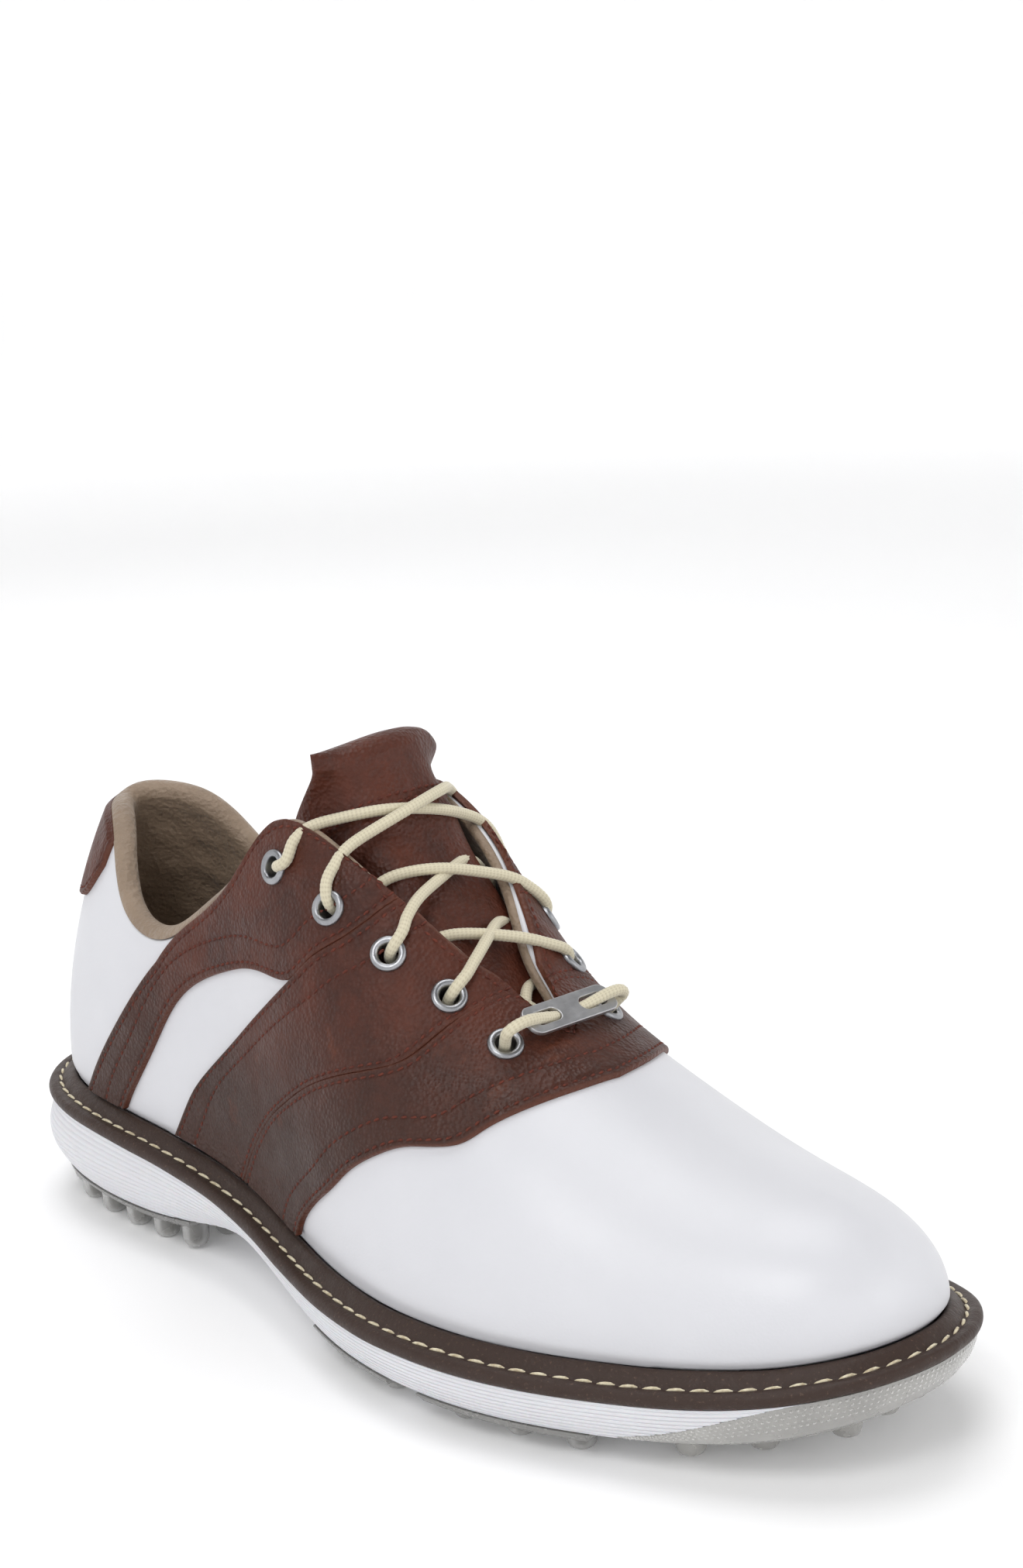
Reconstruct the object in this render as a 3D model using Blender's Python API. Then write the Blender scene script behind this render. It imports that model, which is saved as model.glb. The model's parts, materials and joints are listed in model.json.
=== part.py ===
"""A laced golf shoe for the right foot, modelled as the pieces it is made from.

The frame: +X points to the toe, +Y to the inner (medial) side of the foot, +Z up. The origin is on the
ground under the middle of the shoe. Lengths are in millimetres up to the moment a mesh is made.

The upper is one curved surface, upper_point(r, v). r runs round the lasting line: 0 at the heel, along the
outer side to 1 at the toe, and back along the inner side to 2 at the heel. v runs up from the lasting line
to the crest of the shoe at 1. Every leather, lining and stiffener is a layer at its own depth from it.
"""
import math

import bmesh
import bpy
import numpy as np
from mathutils import Matrix, Vector

MM = 0.001
GAP = 0.4
# What moves the middle of the shoe's box onto the origin.
CENTRING = (0.55, 1.58)

# The welt's outer edge seen from above, from the heel along the outer side, round the toe and back.
WELT_EDGE = [
    (-150, 0), (-137, -25.5), (-112, -36), (-75, -37.5), (-38, -39.5), (0, -50), (35, -57), (65, -54.5),
    (95, -44.5), (122, -32.5), (142, -16), (149.5, 4.5), (145, 24.5), (130, 41), (103, 51), (72, 54),
    (42, 51.5), (12, 45.5), (-18, 40), (-48, 37), (-82, 37), (-112, 37), (-137, 25.5),
]
# Heights above the ground along the shoe: the welt's underside, and the underside of the midsole.
WELT_HEIGHT = [(-155, 30), (-110, 29), (-60, 24.3), (-10, 17.3), (40, 16.4), (90, 17.2), (125, 21), (155, 28.5)]
SOLE_BASE = [
    (-155, 13.5), (-138, 10.5), (-110, 9.5), (-80, 9.5), (-60, 12), (-42, 14.5), (-22, 11.5), (0, 7.6),
    (30, 6.8), (80, 7), (110, 9), (132, 13.5), (155, 22),
]
LASTING_INSET = 7.0
WELT_RISE = 6.0
TOE_PIECE = (30, 42)
TOE_RECESS = 2.6
LUG_PITCH = 13.0
LUG_SIZE = 7.0

# The crest of the upper, its rear and front ends, and the handles that round each side of it.
CREST = [(-104, 129), (-70, 136), (-35, 154), (-5, 134.5), (25, 95), (55, 74), (85, 61.5), (116, 56), (150, 50)]
CREST_Y = [(-150, 0), (-60, 0), (50, 0), (118, 7), (150, 8)]
CREST_REAR, CREST_FRONT = -104.0, 116.0
HANDLE_X = (-104, -60, -15, 40, 116)
WALL_OUTER = (0.408, 0.514, 0.638, 0.532, 0.565)
WALL_INNER = (0.593, 0.607, 0.728, 0.596, 0.509)
CROWN_OUTER = (0.43, 0.507, 0.575, 0.533, 0.567)
CROWN_INNER = (0.594, 0.607, 0.702, 0.636, 0.559)
BULGE = (1.3, 1.5, 3.1, 0.9, 0.13)

# Where the upper ends at the collar and at the edges of the throat, as v over r, on the two sides.
TOP_OUTER = [
    (0, 0.615), (0.08, 0.61), (0.125, 0.536), (0.171, 0.418), (0.214, 0.345), (0.255, 0.321), (0.309, 0.354),
    (0.358, 0.434), (0.387, 0.532), (0.421, 0.592), (0.471, 0.671), (0.518, 0.777), (0.577, 0.914),
    (0.622, 0.956), (0.645, 1.0),
]
TOP_INNER = [
    (0, 0.615), (0.08, 0.6), (0.125, 0.55), (0.171, 0.43), (0.214, 0.34), (0.255, 0.305), (0.309, 0.334),
    (0.358, 0.41), (0.387, 0.5), (0.421, 0.553), (0.471, 0.62), (0.518, 0.735), (0.577, 0.887),
    (0.622, 0.941), (0.645, 1.0),
]
# The seam between vamp and quarter, as r over v.
VAMP_SEAM = [(0, 0.42), (0.1, 0.46), (0.2, 0.5), (0.33, 0.55), (0.45, 0.59), (0.6, 0.62), (0.8, 0.64), (1, 0.66)]
# The overlays: matching points (r, v) on the rear and the front edge of each, from the welt up.
REAR_BAND = (
    [(0.146, 0.012), (0.169, 0.091), (0.199, 0.179), (0.235, 0.262), (0.275, 0.312), (0.318, 0.347),
     (0.352, 0.405), (0.376, 0.49), (0.412, 0.565), (0.455, 0.632), (0.492, 0.71)],
    [(0.203, 0.012), (0.217, 0.057), (0.244, 0.131), (0.268, 0.195), (0.298, 0.237), (0.345, 0.268),
     (0.395, 0.305), (0.44, 0.355), (0.466, 0.452), (0.489, 0.565), (0.507, 0.735)],
)
MIDDLE_BAND = (
    [(0.27, 0.012), (0.289, 0.062), (0.313, 0.11), (0.362, 0.181), (0.413, 0.273), (0.449, 0.367),
     (0.47, 0.452), (0.493, 0.565), (0.511, 0.735)],
    [(0.365, 0.012), (0.385, 0.06), (0.42, 0.13), (0.462, 0.21), (0.51, 0.33), (0.545, 0.44),
     (0.569, 0.545), (0.583, 0.7), (0.6, 0.93)],
)
FRONT_BAND = (
    [(0.369, 0.012), (0.389, 0.06), (0.424, 0.13), (0.466, 0.21), (0.514, 0.33), (0.549, 0.44), (0.573, 0.545),
     (0.587, 0.7), (0.604, 0.93), (0.63, 0.962), (0.652, 1.0)],
    [(0.461, 0.012), (0.478, 0.054), (0.516, 0.134), (0.543, 0.216), (0.574, 0.32), (0.6, 0.399),
     (0.633, 0.48), (0.65, 0.57), (0.67, 0.69), (0.695, 0.85), (0.712, 1.0)],
)
HEEL_TAB_LOW = [(0, 0.4), (0.07, 0.405), (0.1, 0.43), (0.12, 0.5)]
# The five eyelets of each row, from the ankle down, as (r, v).
EYELETS_OUTER = [(0.405, 0.481), (0.471, 0.554), (0.525, 0.654), (0.573, 0.754), (0.627, 0.796)]
EYELETS_INNER = [(1.589, 0.44), (1.523, 0.479), (1.471, 0.592), (1.425, 0.715), (1.371, 0.784)]
EYELET_BORE, EYELET_BARREL, EYELET_FLANGE = 2.4, 2.9, 4.3
EYELET_HOLE = 3.3

LEATHER = 1.2
OVERLAY = (0.45, 1.65)
LINING = 0.8

# The tongue's outer face along its middle, from under the vamp to its top: x, z, half width, arch depth and y.
TONGUE = [
    (66, 57.5, 15, 3.5, 0), (54, 62.5, 16, 4.5, 0), (42, 71, 17, 7, 0), (30.5, 80.0, 18, 9, 0.3),
    (19.5, 91.8, 19, 11, 0.8), (9, 104.5, 19, 12.5, 0.6), (0, 115.5, 18.6, 13, 0.6), (-7.5, 129, 18.6, 12, 0.6),
    (-13, 143, 24, 11, 2),
]
TONGUE_FACE, TONGUE_LINING = 1.3, 0.8
TONGUE_FOAM_BASE, TONGUE_FOAM_TOP = 2.5, 8.0

LACE_RADIUS = 1.2
LACE_STEP = 4.5
AGLET_RADIUS, AGLET_LENGTH = 1.5, 15.0
OVER_RISE, UNDER_RISE = 4.7, 5.9
TAG_LENGTH, TAG_WIDTH, TAG_THICK = 28.0, 8.0, 1.2
TAG_SLOT = (8.4, 3.8)
TAG_SLOT_OFFSET = 7.6


# ---------------------------------------------------------------- curves

def closed_spline(points):
    """A smooth closed curve through the points; the result takes fractions of its length."""
    p = np.array(points, float)
    n = len(p)
    h = np.linalg.norm(np.roll(p, -1, 0) - p, axis=1)
    system = np.zeros((n, n))
    right = np.zeros(p.shape)
    for i in range(n):
        before, after = h[i - 1], h[i]
        system[i, i - 1] += before
        system[i, i] += 2 * (before + after)
        system[i, (i + 1) % n] += after
        right[i] = 6 * ((p[(i + 1) % n] - p[i]) / after - (p[i] - p[i - 1]) / before)
    bend = np.linalg.solve(system, right)
    knots = np.concatenate([[0], np.cumsum(h)])

    def at(s):
        s = np.asarray(s) % 1.0 * knots[-1]
        i = np.clip(np.searchsorted(knots, s, side="right") - 1, 0, n - 1)
        j = (i + 1) % n
        step = h[i][:, None]
        t = (s - knots[i])[:, None]
        u = step - t
        cubic = (bend[i] * u**3 + bend[j] * t**3) / (6 * step)
        return cubic + (p[i] / step - bend[i] * step / 6) * u + (p[j] / step - bend[j] * step / 6) * t

    return at


def curve(points):
    """A smooth function through (x, y) points, held at its end values outside them."""
    x, y = np.array(points, float).T
    n = len(x)
    h = np.diff(x)
    system = np.eye(n)
    right = np.zeros(n)
    for i in range(1, n - 1):
        system[i, i - 1:i + 2] = h[i - 1], 2 * (h[i - 1] + h[i]), h[i]
        right[i] = 6 * ((y[i + 1] - y[i]) / h[i] - (y[i] - y[i - 1]) / h[i - 1])
    bend = np.linalg.solve(system, right)

    def at(q):
        q = np.clip(np.asarray(q, float), x[0], x[-1])
        i = np.clip(np.searchsorted(x, q, side="right") - 1, 0, n - 2)
        step = h[i]
        t = q - x[i]
        u = x[i + 1] - q
        cubic = (bend[i] * u**3 + bend[i + 1] * t**3) / (6 * step)
        return cubic + (y[i] / step - bend[i] * step / 6) * u + (y[i + 1] / step - bend[i + 1] * step / 6) * t

    return at


def smooth(x):
    x = np.clip(x, 0, 1)
    return x * x * (3 - 2 * x)


def through(points, step):
    """Points about one step apart on a smooth curve through the given ones."""
    p = np.array(points, float)
    knots = np.concatenate([[0], np.cumsum(np.linalg.norm(np.diff(p, axis=0), axis=1))])
    axes = [curve(list(zip(knots, p[:, k]))) for k in range(p.shape[1])]
    count = max(2, round(knots[-1] / step) + 1)
    s = np.linspace(0, knots[-1], count)
    return np.stack([axis(s) for axis in axes], -1)


welt_edge = closed_spline(WELT_EDGE)
welt_height = curve(WELT_HEIGHT)
sole_base = curve(SOLE_BASE)
crest = curve(CREST)
crest_y = curve(CREST_Y)
wall_outer, wall_inner, crown_outer, crown_inner, bulge = (
    curve(list(zip(HANDLE_X, values))) for values in (WALL_OUTER, WALL_INNER, CROWN_OUTER, CROWN_INNER, BULGE)
)
top_outer, top_inner, vamp_seam = curve(TOP_OUTER), curve(TOP_INNER), curve(VAMP_SEAM)
heel_tab_low = curve(HEEL_TAB_LOW)


def outline(s, inset):
    """Points of the welt's edge moved inwards, and the outward directions there."""
    s = np.atleast_1d(np.asarray(s, float))
    small = 1e-4
    p = welt_edge(s)
    d = welt_edge(s + small) - welt_edge(s - small)
    d /= np.linalg.norm(d, axis=1)[:, None]
    outward = np.stack([d[:, 1], -d[:, 0]], -1)
    return p - outward * inset, outward


TABLE = np.linspace(0, 1, 2001)
LASTING_LINE = outline(TABLE, LASTING_INSET)[0]
LASTING_LENGTH = np.concatenate([[0], np.cumsum(np.linalg.norm(np.diff(LASTING_LINE, axis=0), axis=1))])
TOE_LENGTH = LASTING_LENGTH[np.argmax(LASTING_LINE[:, 0])]
LASTING_LOW, LASTING_HIGH = LASTING_LINE[:, 0].min(), LASTING_LINE[:, 0].max()


def round_the_last(r):
    """The fraction of the welt's edge that r stands for."""
    r = np.asarray(r, float) % 2
    back = LASTING_LENGTH[-1] - TOE_LENGTH
    length = np.where(r <= 1, r * TOE_LENGTH, TOE_LENGTH + (r - 1) * back)
    return np.interp(length, LASTING_LENGTH, TABLE)


def surface(r, v):
    """The outer face of the vamp and the quarters."""
    foot, outward = outline(round_the_last(r), LASTING_INSET)
    mirrored = outline(round_the_last(2 - r), LASTING_INSET)[0]
    along = ((foot[:, 0] + mirrored[:, 0]) / 2 - LASTING_LOW) / (LASTING_HIGH - LASTING_LOW)
    x = CREST_REAR + along * (CREST_FRONT - CREST_REAR)
    y = crest_y(x)
    base = welt_height(foot[:, 0]) + WELT_RISE
    top = crest(x)
    inner = 0.5 + 0.5 * np.tanh((foot[:, 1] - y) / 12)
    wall = wall_outer(x) * (1 - inner) + wall_inner(x) * inner
    crown = crown_outer(x) * (1 - inner) + crown_inner(x) * inner
    spine = np.stack([x, y], -1)
    shoulder = spine + (foot - spine) * crown[:, None]
    p0 = np.column_stack([foot, base])
    p1 = np.column_stack([foot + outward * bulge(x)[:, None], base + wall * (top - base)])
    p2 = np.column_stack([shoulder, crest(shoulder[:, 0])])
    p3 = np.column_stack([spine, top])
    t = v[:, None]
    return p0 * (1 - t)**3 + 3 * p1 * t * (1 - t)**2 + 3 * p2 * t * t * (1 - t) + p3 * t**3


def upper_point(r, v, lift=0.0):
    """Points of the upper's surface, lifted along its outward normal."""
    r, v, lift = np.broadcast_arrays(np.asarray(r, float), np.asarray(v, float), np.asarray(lift, float))
    shape = r.shape
    r, v, lift = r.ravel(), v.ravel(), lift.ravel()
    at = np.minimum(v, 0.96)
    across = surface(r + 0.004, at) - surface(r - 0.004, at)
    up = surface(r, at + 0.01) - surface(r, at - 0.01)
    normal = np.cross(across, up)
    normal /= np.linalg.norm(normal, axis=1)[:, None]
    p = surface(r, v)
    slope = (crest(p[:, 0] + 0.5) - crest(p[:, 0] - 0.5))
    level = np.column_stack([-slope, np.zeros_like(slope), np.ones_like(slope)])
    level /= np.linalg.norm(level, axis=1)[:, None]
    near = smooth((v - 0.88) / 0.12)[:, None]
    normal = normal * (1 - near) + level * near
    normal /= np.linalg.norm(normal, axis=1)[:, None]
    return (p + normal * lift[:, None]).reshape(shape + (3,)), normal.reshape(shape + (3,))


def from_heel(r):
    """How far round from the heel: 0 there, 1 at the toe, the same on both sides."""
    r = np.asarray(r, float) % 2
    return np.minimum(r, 2 - r)


def top_of(r):
    """v where the upper ends, at the collar or at the throat's edge."""
    r = np.asarray(r, float)
    rho = from_heel(r)
    inner = smooth((r % 2 - 1.0) * 1e3)
    v = top_outer(rho) * (1 - inner) + top_inner(rho) * inner
    return np.where(rho >= TOP_OUTER[-1][0], 1.0, np.minimum(v, 1.0))


def padding(r, q):
    """The thickness between leather and lining: counter, toe puff, collar foam or nothing much."""
    rho = from_heel(r)
    collar = 4.3 * smooth((q - 0.45) / 0.25) * smooth((0.385 - rho) / 0.06)
    counter = 1.0 * smooth((0.32 - rho) / 0.06)
    puff = 0.9 * smooth((rho - 0.78) / 0.05)
    return 0.1 + collar + np.maximum(counter, puff) * (1 - smooth((q - 0.45) / 0.25) * (rho < 0.5))


# ---------------------------------------------------------------- materials and meshes

def material(name, colour, roughness, metallic=0.0):
    made = bpy.data.materials.new(name)
    made.use_nodes = True
    shader = made.node_tree.nodes["Principled BSDF"]
    shader.inputs["Base Color"].default_value = (*colour, 1)
    shader.inputs["Roughness"].default_value = roughness
    shader.inputs["Metallic"].default_value = metallic
    made.diffuse_color = (*colour, 1)
    return made


def make_materials():
    return {
        "white_leather": material("white_leather", (0.78, 0.78, 0.8), 0.42),
        "brown_leather": material("brown_leather", (0.13, 0.05, 0.032), 0.5),
        "welt_leather": material("welt_leather", (0.06, 0.045, 0.036), 0.6),
        "lining": material("lining", (0.36, 0.27, 0.19), 0.75),
        "foam": material("foam", (0.55, 0.52, 0.45), 0.9),
        "board": material("board", (0.34, 0.25, 0.16), 0.85),
        "midsole": material("midsole", (0.82, 0.82, 0.82), 0.55),
        "outsole": material("outsole", (0.33, 0.31, 0.3), 0.3),
        "steel": material("steel", (0.55, 0.55, 0.56), 0.3, 1.0),
        "cord": material("cord", (0.72, 0.66, 0.52), 0.8),
        "stitching": material("stitching", (0.75, 0.66, 0.48), 0.8),
    }


MATERIALS = {}


def add_object(name, mesh_or_curve, slot):
    made = bpy.data.objects.new(name, mesh_or_curve)
    bpy.context.scene.collection.objects.link(made)
    mesh_or_curve.materials.append(MATERIALS[slot])
    return made


def welded(points, faces):
    """Points that meet made one, and the walls that then lie inside the solid taken out."""
    points = np.asarray(points, float)
    _, first, index = np.unique(np.round(points, 3), axis=0, return_index=True, return_inverse=True)
    index = index.reshape(-1)
    rings = []
    for face in faces:
        ring = [index[k] for k in face]
        ring = [k for n, k in enumerate(ring) if k != ring[n - 1]]
        if len(set(ring)) == len(ring) > 2:
            rings.append(ring)
    count = {}
    for ring in rings:
        count[frozenset(ring)] = count.get(frozenset(ring), 0) + 1
    return points[first], [ring for ring in rings if count[frozenset(ring)] == 1]


def add_mesh(name, points, faces, slot):
    """A closed mesh from points in millimetres."""
    points, faces = welded(points, faces)
    mesh = bpy.data.meshes.new(name)
    mesh.from_pydata([tuple(p) for p in points * MM], [], faces)
    bm = bmesh.new()
    bm.from_mesh(mesh)
    bmesh.ops.recalc_face_normals(bm, faces=bm.faces)
    bm.to_mesh(mesh)
    bm.free()
    mesh.shade_smooth()
    mesh.set_sharp_from_angle(angle=math.radians(40))
    return add_object(name, mesh, slot)


def shell_faces(rows, columns):
    """Faces of a closed sheet: a grid of outer points, the same grid of inner points, and the four edges."""
    size = rows * columns
    faces = []
    for i in range(rows - 1):
        for j in range(columns - 1):
            a, b, c, d = (i * columns + j, (i + 1) * columns + j, (i + 1) * columns + j + 1, i * columns + j + 1)
            faces.append((a, b, c, d))
            faces.append((size + d, size + c, size + b, size + a))
    rim = [(i, 0) for i in range(rows)] + [(rows - 1, j) for j in range(1, columns)]
    rim += [(i, columns - 1) for i in range(rows - 2, -1, -1)] + [(0, j) for j in range(columns - 2, 0, -1)]
    ring = [i * columns + j for i, j in rim]
    for a, b in zip(ring, ring[1:] + ring[:1]):
        faces.append((b, a, size + a, size + b))
    return faces


def layer(name, r, v, outer, inner, slot):
    """A sheet of the upper over the grid (r, v), between two depths along its normal."""
    rows, columns = r.shape
    points = np.concatenate([
        upper_point(r, v, outer)[0].reshape(-1, 3),
        upper_point(r, v, inner)[0].reshape(-1, 3),
    ])
    return add_mesh(name, points, shell_faces(rows, columns), slot)


def turned(profile, segments, centre, axis):
    """Points and faces of a closed profile (radius, height) turned about an axis through centre."""
    axis = Vector(axis).normalized()
    turn = axis.to_track_quat("Z", "Y").to_matrix()
    points, faces = [], []
    count = len(profile)
    for i in range(segments):
        angle = 2 * math.pi * i / segments
        for radius, height in profile:
            offset = turn @ Vector((radius * math.cos(angle), radius * math.sin(angle), height))
            points.append(tuple(Vector(centre) + offset))
    for i in range(segments):
        k = (i + 1) % segments
        for j in range(count):
            m = (j + 1) % count
            faces.append((i * count + j, k * count + j, k * count + m, i * count + m))
    return points, faces


def bar(radius, low, high, segments, centre, axis):
    """Points and faces of a round bar about an axis through centre."""
    turn = Vector(axis).normalized().to_track_quat("Z", "Y").to_matrix()
    points = []
    for height in (low, high):
        for i in range(segments):
            angle = 2 * math.pi * i / segments
            offset = turn @ Vector((radius * math.cos(angle), radius * math.sin(angle), height))
            points.append(tuple(Vector(centre) + offset))
    sides = [(i, (i + 1) % segments, segments + (i + 1) % segments, segments + i) for i in range(segments)]
    return points, [tuple(range(segments))[::-1], tuple(range(segments, 2 * segments)), *sides]


def tube(name, points, radius, slot, sides=2, closed=False):
    data = bpy.data.curves.new(name, "CURVE")
    data.dimensions = "3D"
    data.bevel_depth = radius * MM
    data.bevel_resolution = sides
    data.use_fill_caps = True
    spline = data.splines.new("POLY")
    spline.points.add(len(points) - 1)
    for point, place in zip(spline.points, points):
        point.co = (*(c * MM for c in place), 1)
    spline.use_cyclic_u = closed
    return add_object(name, data, slot)


# ---------------------------------------------------------------- the sole

def side_inset(r, height):
    """How far the sole's side stands inside the welt's edge at a share of its height, 0 at the base."""
    swell = -2.6 * math.sin(math.pi * min(1, height * 1.15)) * float(smooth((0.35 - from_heel(r)) / 0.3))
    tuck = 3.0 * (1 - height)**2.2
    return 0.8 + swell + tuck


def toe_cover(r):
    """The share of the sole's side that the outsole's toe piece covers at r, 0 for none."""
    return 0.94 * float(smooth((from_heel(r) - 0.77) / 0.15))


def sole_side(r, height, extra):
    """A point on the sole's side."""
    (x, y), = outline(round_the_last(np.array([r])), side_inset(r, height) + extra)[0]
    low, high = float(sole_base(x)), float(welt_height(x)) - 0.3
    return x, y, low + (high - low) * height


def sole_levels(r):
    """The heights of the midsole's rows at r and how deep each is cut back for the toe piece."""
    cover = toe_cover(r)
    if from_heel(r) < TOE_PIECE[0] / 36 - 0.001:
        return [(level, 0.0) for level in (0.0, 0.12, 0.35, 0.6, 0.85, 1.0)]
    rim = TOE_RECESS if cover > 0.9 else 0.0
    return [(0.0, TOE_RECESS), (cover * 0.5, TOE_RECESS), (cover, TOE_RECESS),
            (cover + 0.03, rim), (cover + 0.04, rim), (1.0, rim)]


def make_midsole():
    around = np.arange(72) / 36
    points = [sole_side(r, *sole_levels(r)[i]) for i in range(6) for r in around]
    count = len(around)
    faces = []
    for i in range(5):
        for j in range(count):
            k = (j + 1) % count
            faces.append((i * count + j, i * count + k, (i + 1) * count + k, (i + 1) * count + j))
    # The two ends are strips across the sole, which follow its curve from heel to toe.
    for first in (0, 5 * count):
        for j in range(count // 2):
            ring = (first + j, first + j + 1, first + (count - j - 1) % count, first + (count - j) % count)
            faces.append(tuple(dict.fromkeys(ring)))
    return add_mesh("midsole", points, faces, "midsole")


def inside_sole(x, side, inset):
    """y of the sole's outline at x, on the outer (-1) or the inner (+1) side."""
    s = np.linspace(0, 1, 721)
    p = outline(s, inset)[0]
    half = p[p[:, 1] * side > -6] if side > 0 else p[p[:, 1] < 6]
    order = np.argsort(half[:, 0])
    return float(np.interp(x, half[order, 0], half[order, 1]))


def make_pod(name, x_low, x_high, side_low, side_high, thick):
    """A plate of the outsole with its lugs, between two stations and two shares of the sole's width."""
    nx = max(1, round((x_high - x_low) / LUG_PITCH))
    xs = np.linspace(x_low, x_high, nx + 1)
    middle = np.linspace(side_low, side_high, max(2, round((side_high - side_low) * 80 / LUG_PITCH)) + 1)
    rows, columns = len(xs), len(middle)
    top, bottom = [], []
    for x in xs:
        low, high = inside_sole(x, -1, 4.6), inside_sole(x, 1, 4.6)
        for share in middle:
            y = low + (high - low) * share
            z = float(sole_base(x)) - 0.35
            top.append((x, y, z))
            bottom.append((x, y, z - thick))
    mesh_points = top + bottom
    faces = shell_faces(rows, columns)
    pod = add_mesh(name, mesh_points, faces, "outsole")
    add_lugs(pod)
    return pod


def add_lugs(pod):
    """Draws a tapered lug down from each large quad of the plate's underside."""
    bm = bmesh.new()
    bm.from_mesh(pod.data)
    bm.normal_update()
    under = [f for f in bm.faces if f.normal.z < -0.8 and f.calc_area() > (6 * MM)**2]
    for face in sorted(under, key=lambda f: (round(f.calc_center_median().x, 4), f.calc_center_median().y)):
        centre = face.calc_center_median()
        size = min(e.calc_length() for e in face.edges)
        bmesh.ops.inset_region(bm, faces=[face], thickness=max(0.6 * MM, (size - LUG_SIZE * MM) / 2))
        drawn = bmesh.ops.extrude_discrete_faces(bm, faces=[face])["faces"][0]
        tip = min(0.0, centre.z) + max(0.0, centre.z - 9.5 * MM) * 0.75
        for vert in drawn.verts:
            vert.co.x = centre.x + (vert.co.x - centre.x) * 0.72
            vert.co.y = centre.y + (vert.co.y - centre.y) * 0.72
            vert.co.z = tip
    bmesh.ops.recalc_face_normals(bm, faces=bm.faces)
    bm.to_mesh(pod.data)
    bm.free()


def make_toe_piece():
    """The outsole's toe piece: a plate that turns up round the toe to the welt."""
    stations = np.arange(TOE_PIECE[0], TOE_PIECE[1] + 1) / 36
    hub = np.array([92.0, 3.0])
    outer, inner = [], []
    for r in stations:
        cover = max(0.12, toe_cover(r))
        column = [sole_side(r, share * cover, 0.4) for share in (0.94, 0.5, 0.08)]
        backing = [sole_side(r, share * cover, 2.2) for share in (0.94, 0.5, 0.0)]
        backing[-1] = (*backing[-1][:2], backing[-1][2] - 0.5)
        foot = np.array(sole_side(r, 0.0, 1.2))[:2]
        for share in (0.0, 0.25, 0.55, 0.85):
            x, y = foot + (hub - foot) * share
            column.append((x, y, float(sole_base(x)) - 2.3))
            if share:
                backing.append((x, y, float(sole_base(x)) - 0.5))
        backing.insert(3, tuple((np.array(backing[2]) * 0.9 + np.array(backing[3]) * 0.1)))
        outer.append(column)
        inner.append(backing)
    rows, columns = len(stations), len(outer[0])
    points = [p for column in outer for p in column] + [p for column in inner for p in column]
    toe = add_mesh("outsole_toe", points, shell_faces(rows, columns), "outsole")
    add_lugs(toe)
    return toe


def make_welt():
    around = np.arange(72) / 36
    profile = ((0.0, 0.3), (-0.3, 1.8), (0.4, 3.4), (4.0, 3.9), (LASTING_INSET - 0.8, 5.4),
               (12.0, 5.5), (12.0, 0.3))
    points, faces = [], []
    for r in around:
        for inset, rise in profile:
            (px, py), = outline(round_the_last(np.array([r])), inset)[0]
            points.append((px, py, float(welt_height(px)) - 0.3 + rise))
    ring_faces(faces, len(around), len(profile))
    return add_mesh("welt", points, faces, "welt_leather")


def ring_faces(faces, around, profile):
    for i in range(around):
        k = (i + 1) % around
        for j in range(profile):
            m = (j + 1) % profile
            faces.append((i * profile + j, k * profile + j, k * profile + m, i * profile + m))


def make_welt_thread():
    around = np.arange(72) / 36
    points = []
    for r in around:
        (x, y), = outline(round_the_last(np.array([r])), 3.0)[0]
        points.append((x, y, float(welt_height(x)) + 4.4))
    return tube("welt_thread", points, 0.45, "stitching", sides=0, closed=True)


def flat_insole(name, inset, low, high, slot, cup=0.0):
    """A sheet that fills the shoe's floor, between two heights above the welt's underside."""
    half = np.arange(1, 24) / 24
    rows = []
    for r in half:
        a, = outline(round_the_last(np.array([r])), inset)[0]
        b, = outline(round_the_last(np.array([2 - r])), inset)[0]
        row = []
        for share in (0, 0.12, 0.35, 0.65, 0.88, 1):
            x, y = a + (b - a) * share
            edge_lift = cup * abs(2 * share - 1)**4
            row.append((x, y, float(welt_height((a[0] + b[0]) / 2)) + edge_lift))
        rows.append(row)
    grid = np.array(rows)
    top = grid + (0, 0, high)
    bottom = grid + (0, 0, low)
    points = np.concatenate([top.reshape(-1, 3), bottom.reshape(-1, 3)])
    return add_mesh(name, points, shell_faces(*grid.shape[:2]), slot)


def make_shank():
    stations = np.linspace(-92, -4, 9)
    rows = []
    for x in stations:
        width = 9 + 2.5 * math.cos((x + 48) / 44 * math.pi / 2)
        rows.append([(x, y, float(welt_height(x)) + 0.3) for y in (-width, 0, width)])
    grid = np.array(rows)
    points = np.concatenate([(grid + (0, 0, 1.6)).reshape(-1, 3), grid.reshape(-1, 3)])
    return add_mesh("shank", points, shell_faces(*grid.shape[:2]), "steel")


# ---------------------------------------------------------------- the upper

def grid_of(r_values, q_values, top=top_of):
    """A grid of (r, v) whose rows share out the height up to the upper's end."""
    r, q = np.meshgrid(r_values, q_values, indexing="ij")
    return r, q, q * top(r)


def make_vamp():
    q = np.linspace(0, 1, 10)
    start = vamp_seam(q)
    share = np.linspace(0, 1, 33)[:, None]
    r = start + (2 - 2 * start) * share
    v = np.broadcast_to(q, r.shape)
    return layer("vamp", r, v, 0.0, -LEATHER, "white_leather")


def make_quarter(name, inner):
    q = np.linspace(0, 1, 10)
    end = np.full(q.shape, 0.6)
    side = (lambda rho: 2 - rho) if inner else (lambda rho: rho)
    for _ in range(30):
        end = 0.5 * end + 0.5 * (vamp_seam(q * top_of(side(end))) - 0.0025)
    share = np.linspace(0, 1, 22)[:, None]
    rho = 0.0015 + (end - 0.0015) * share
    r = side(rho)
    v = q * top_of(r)
    return layer(name, r, v, 0.0, -LEATHER, "white_leather")


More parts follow.
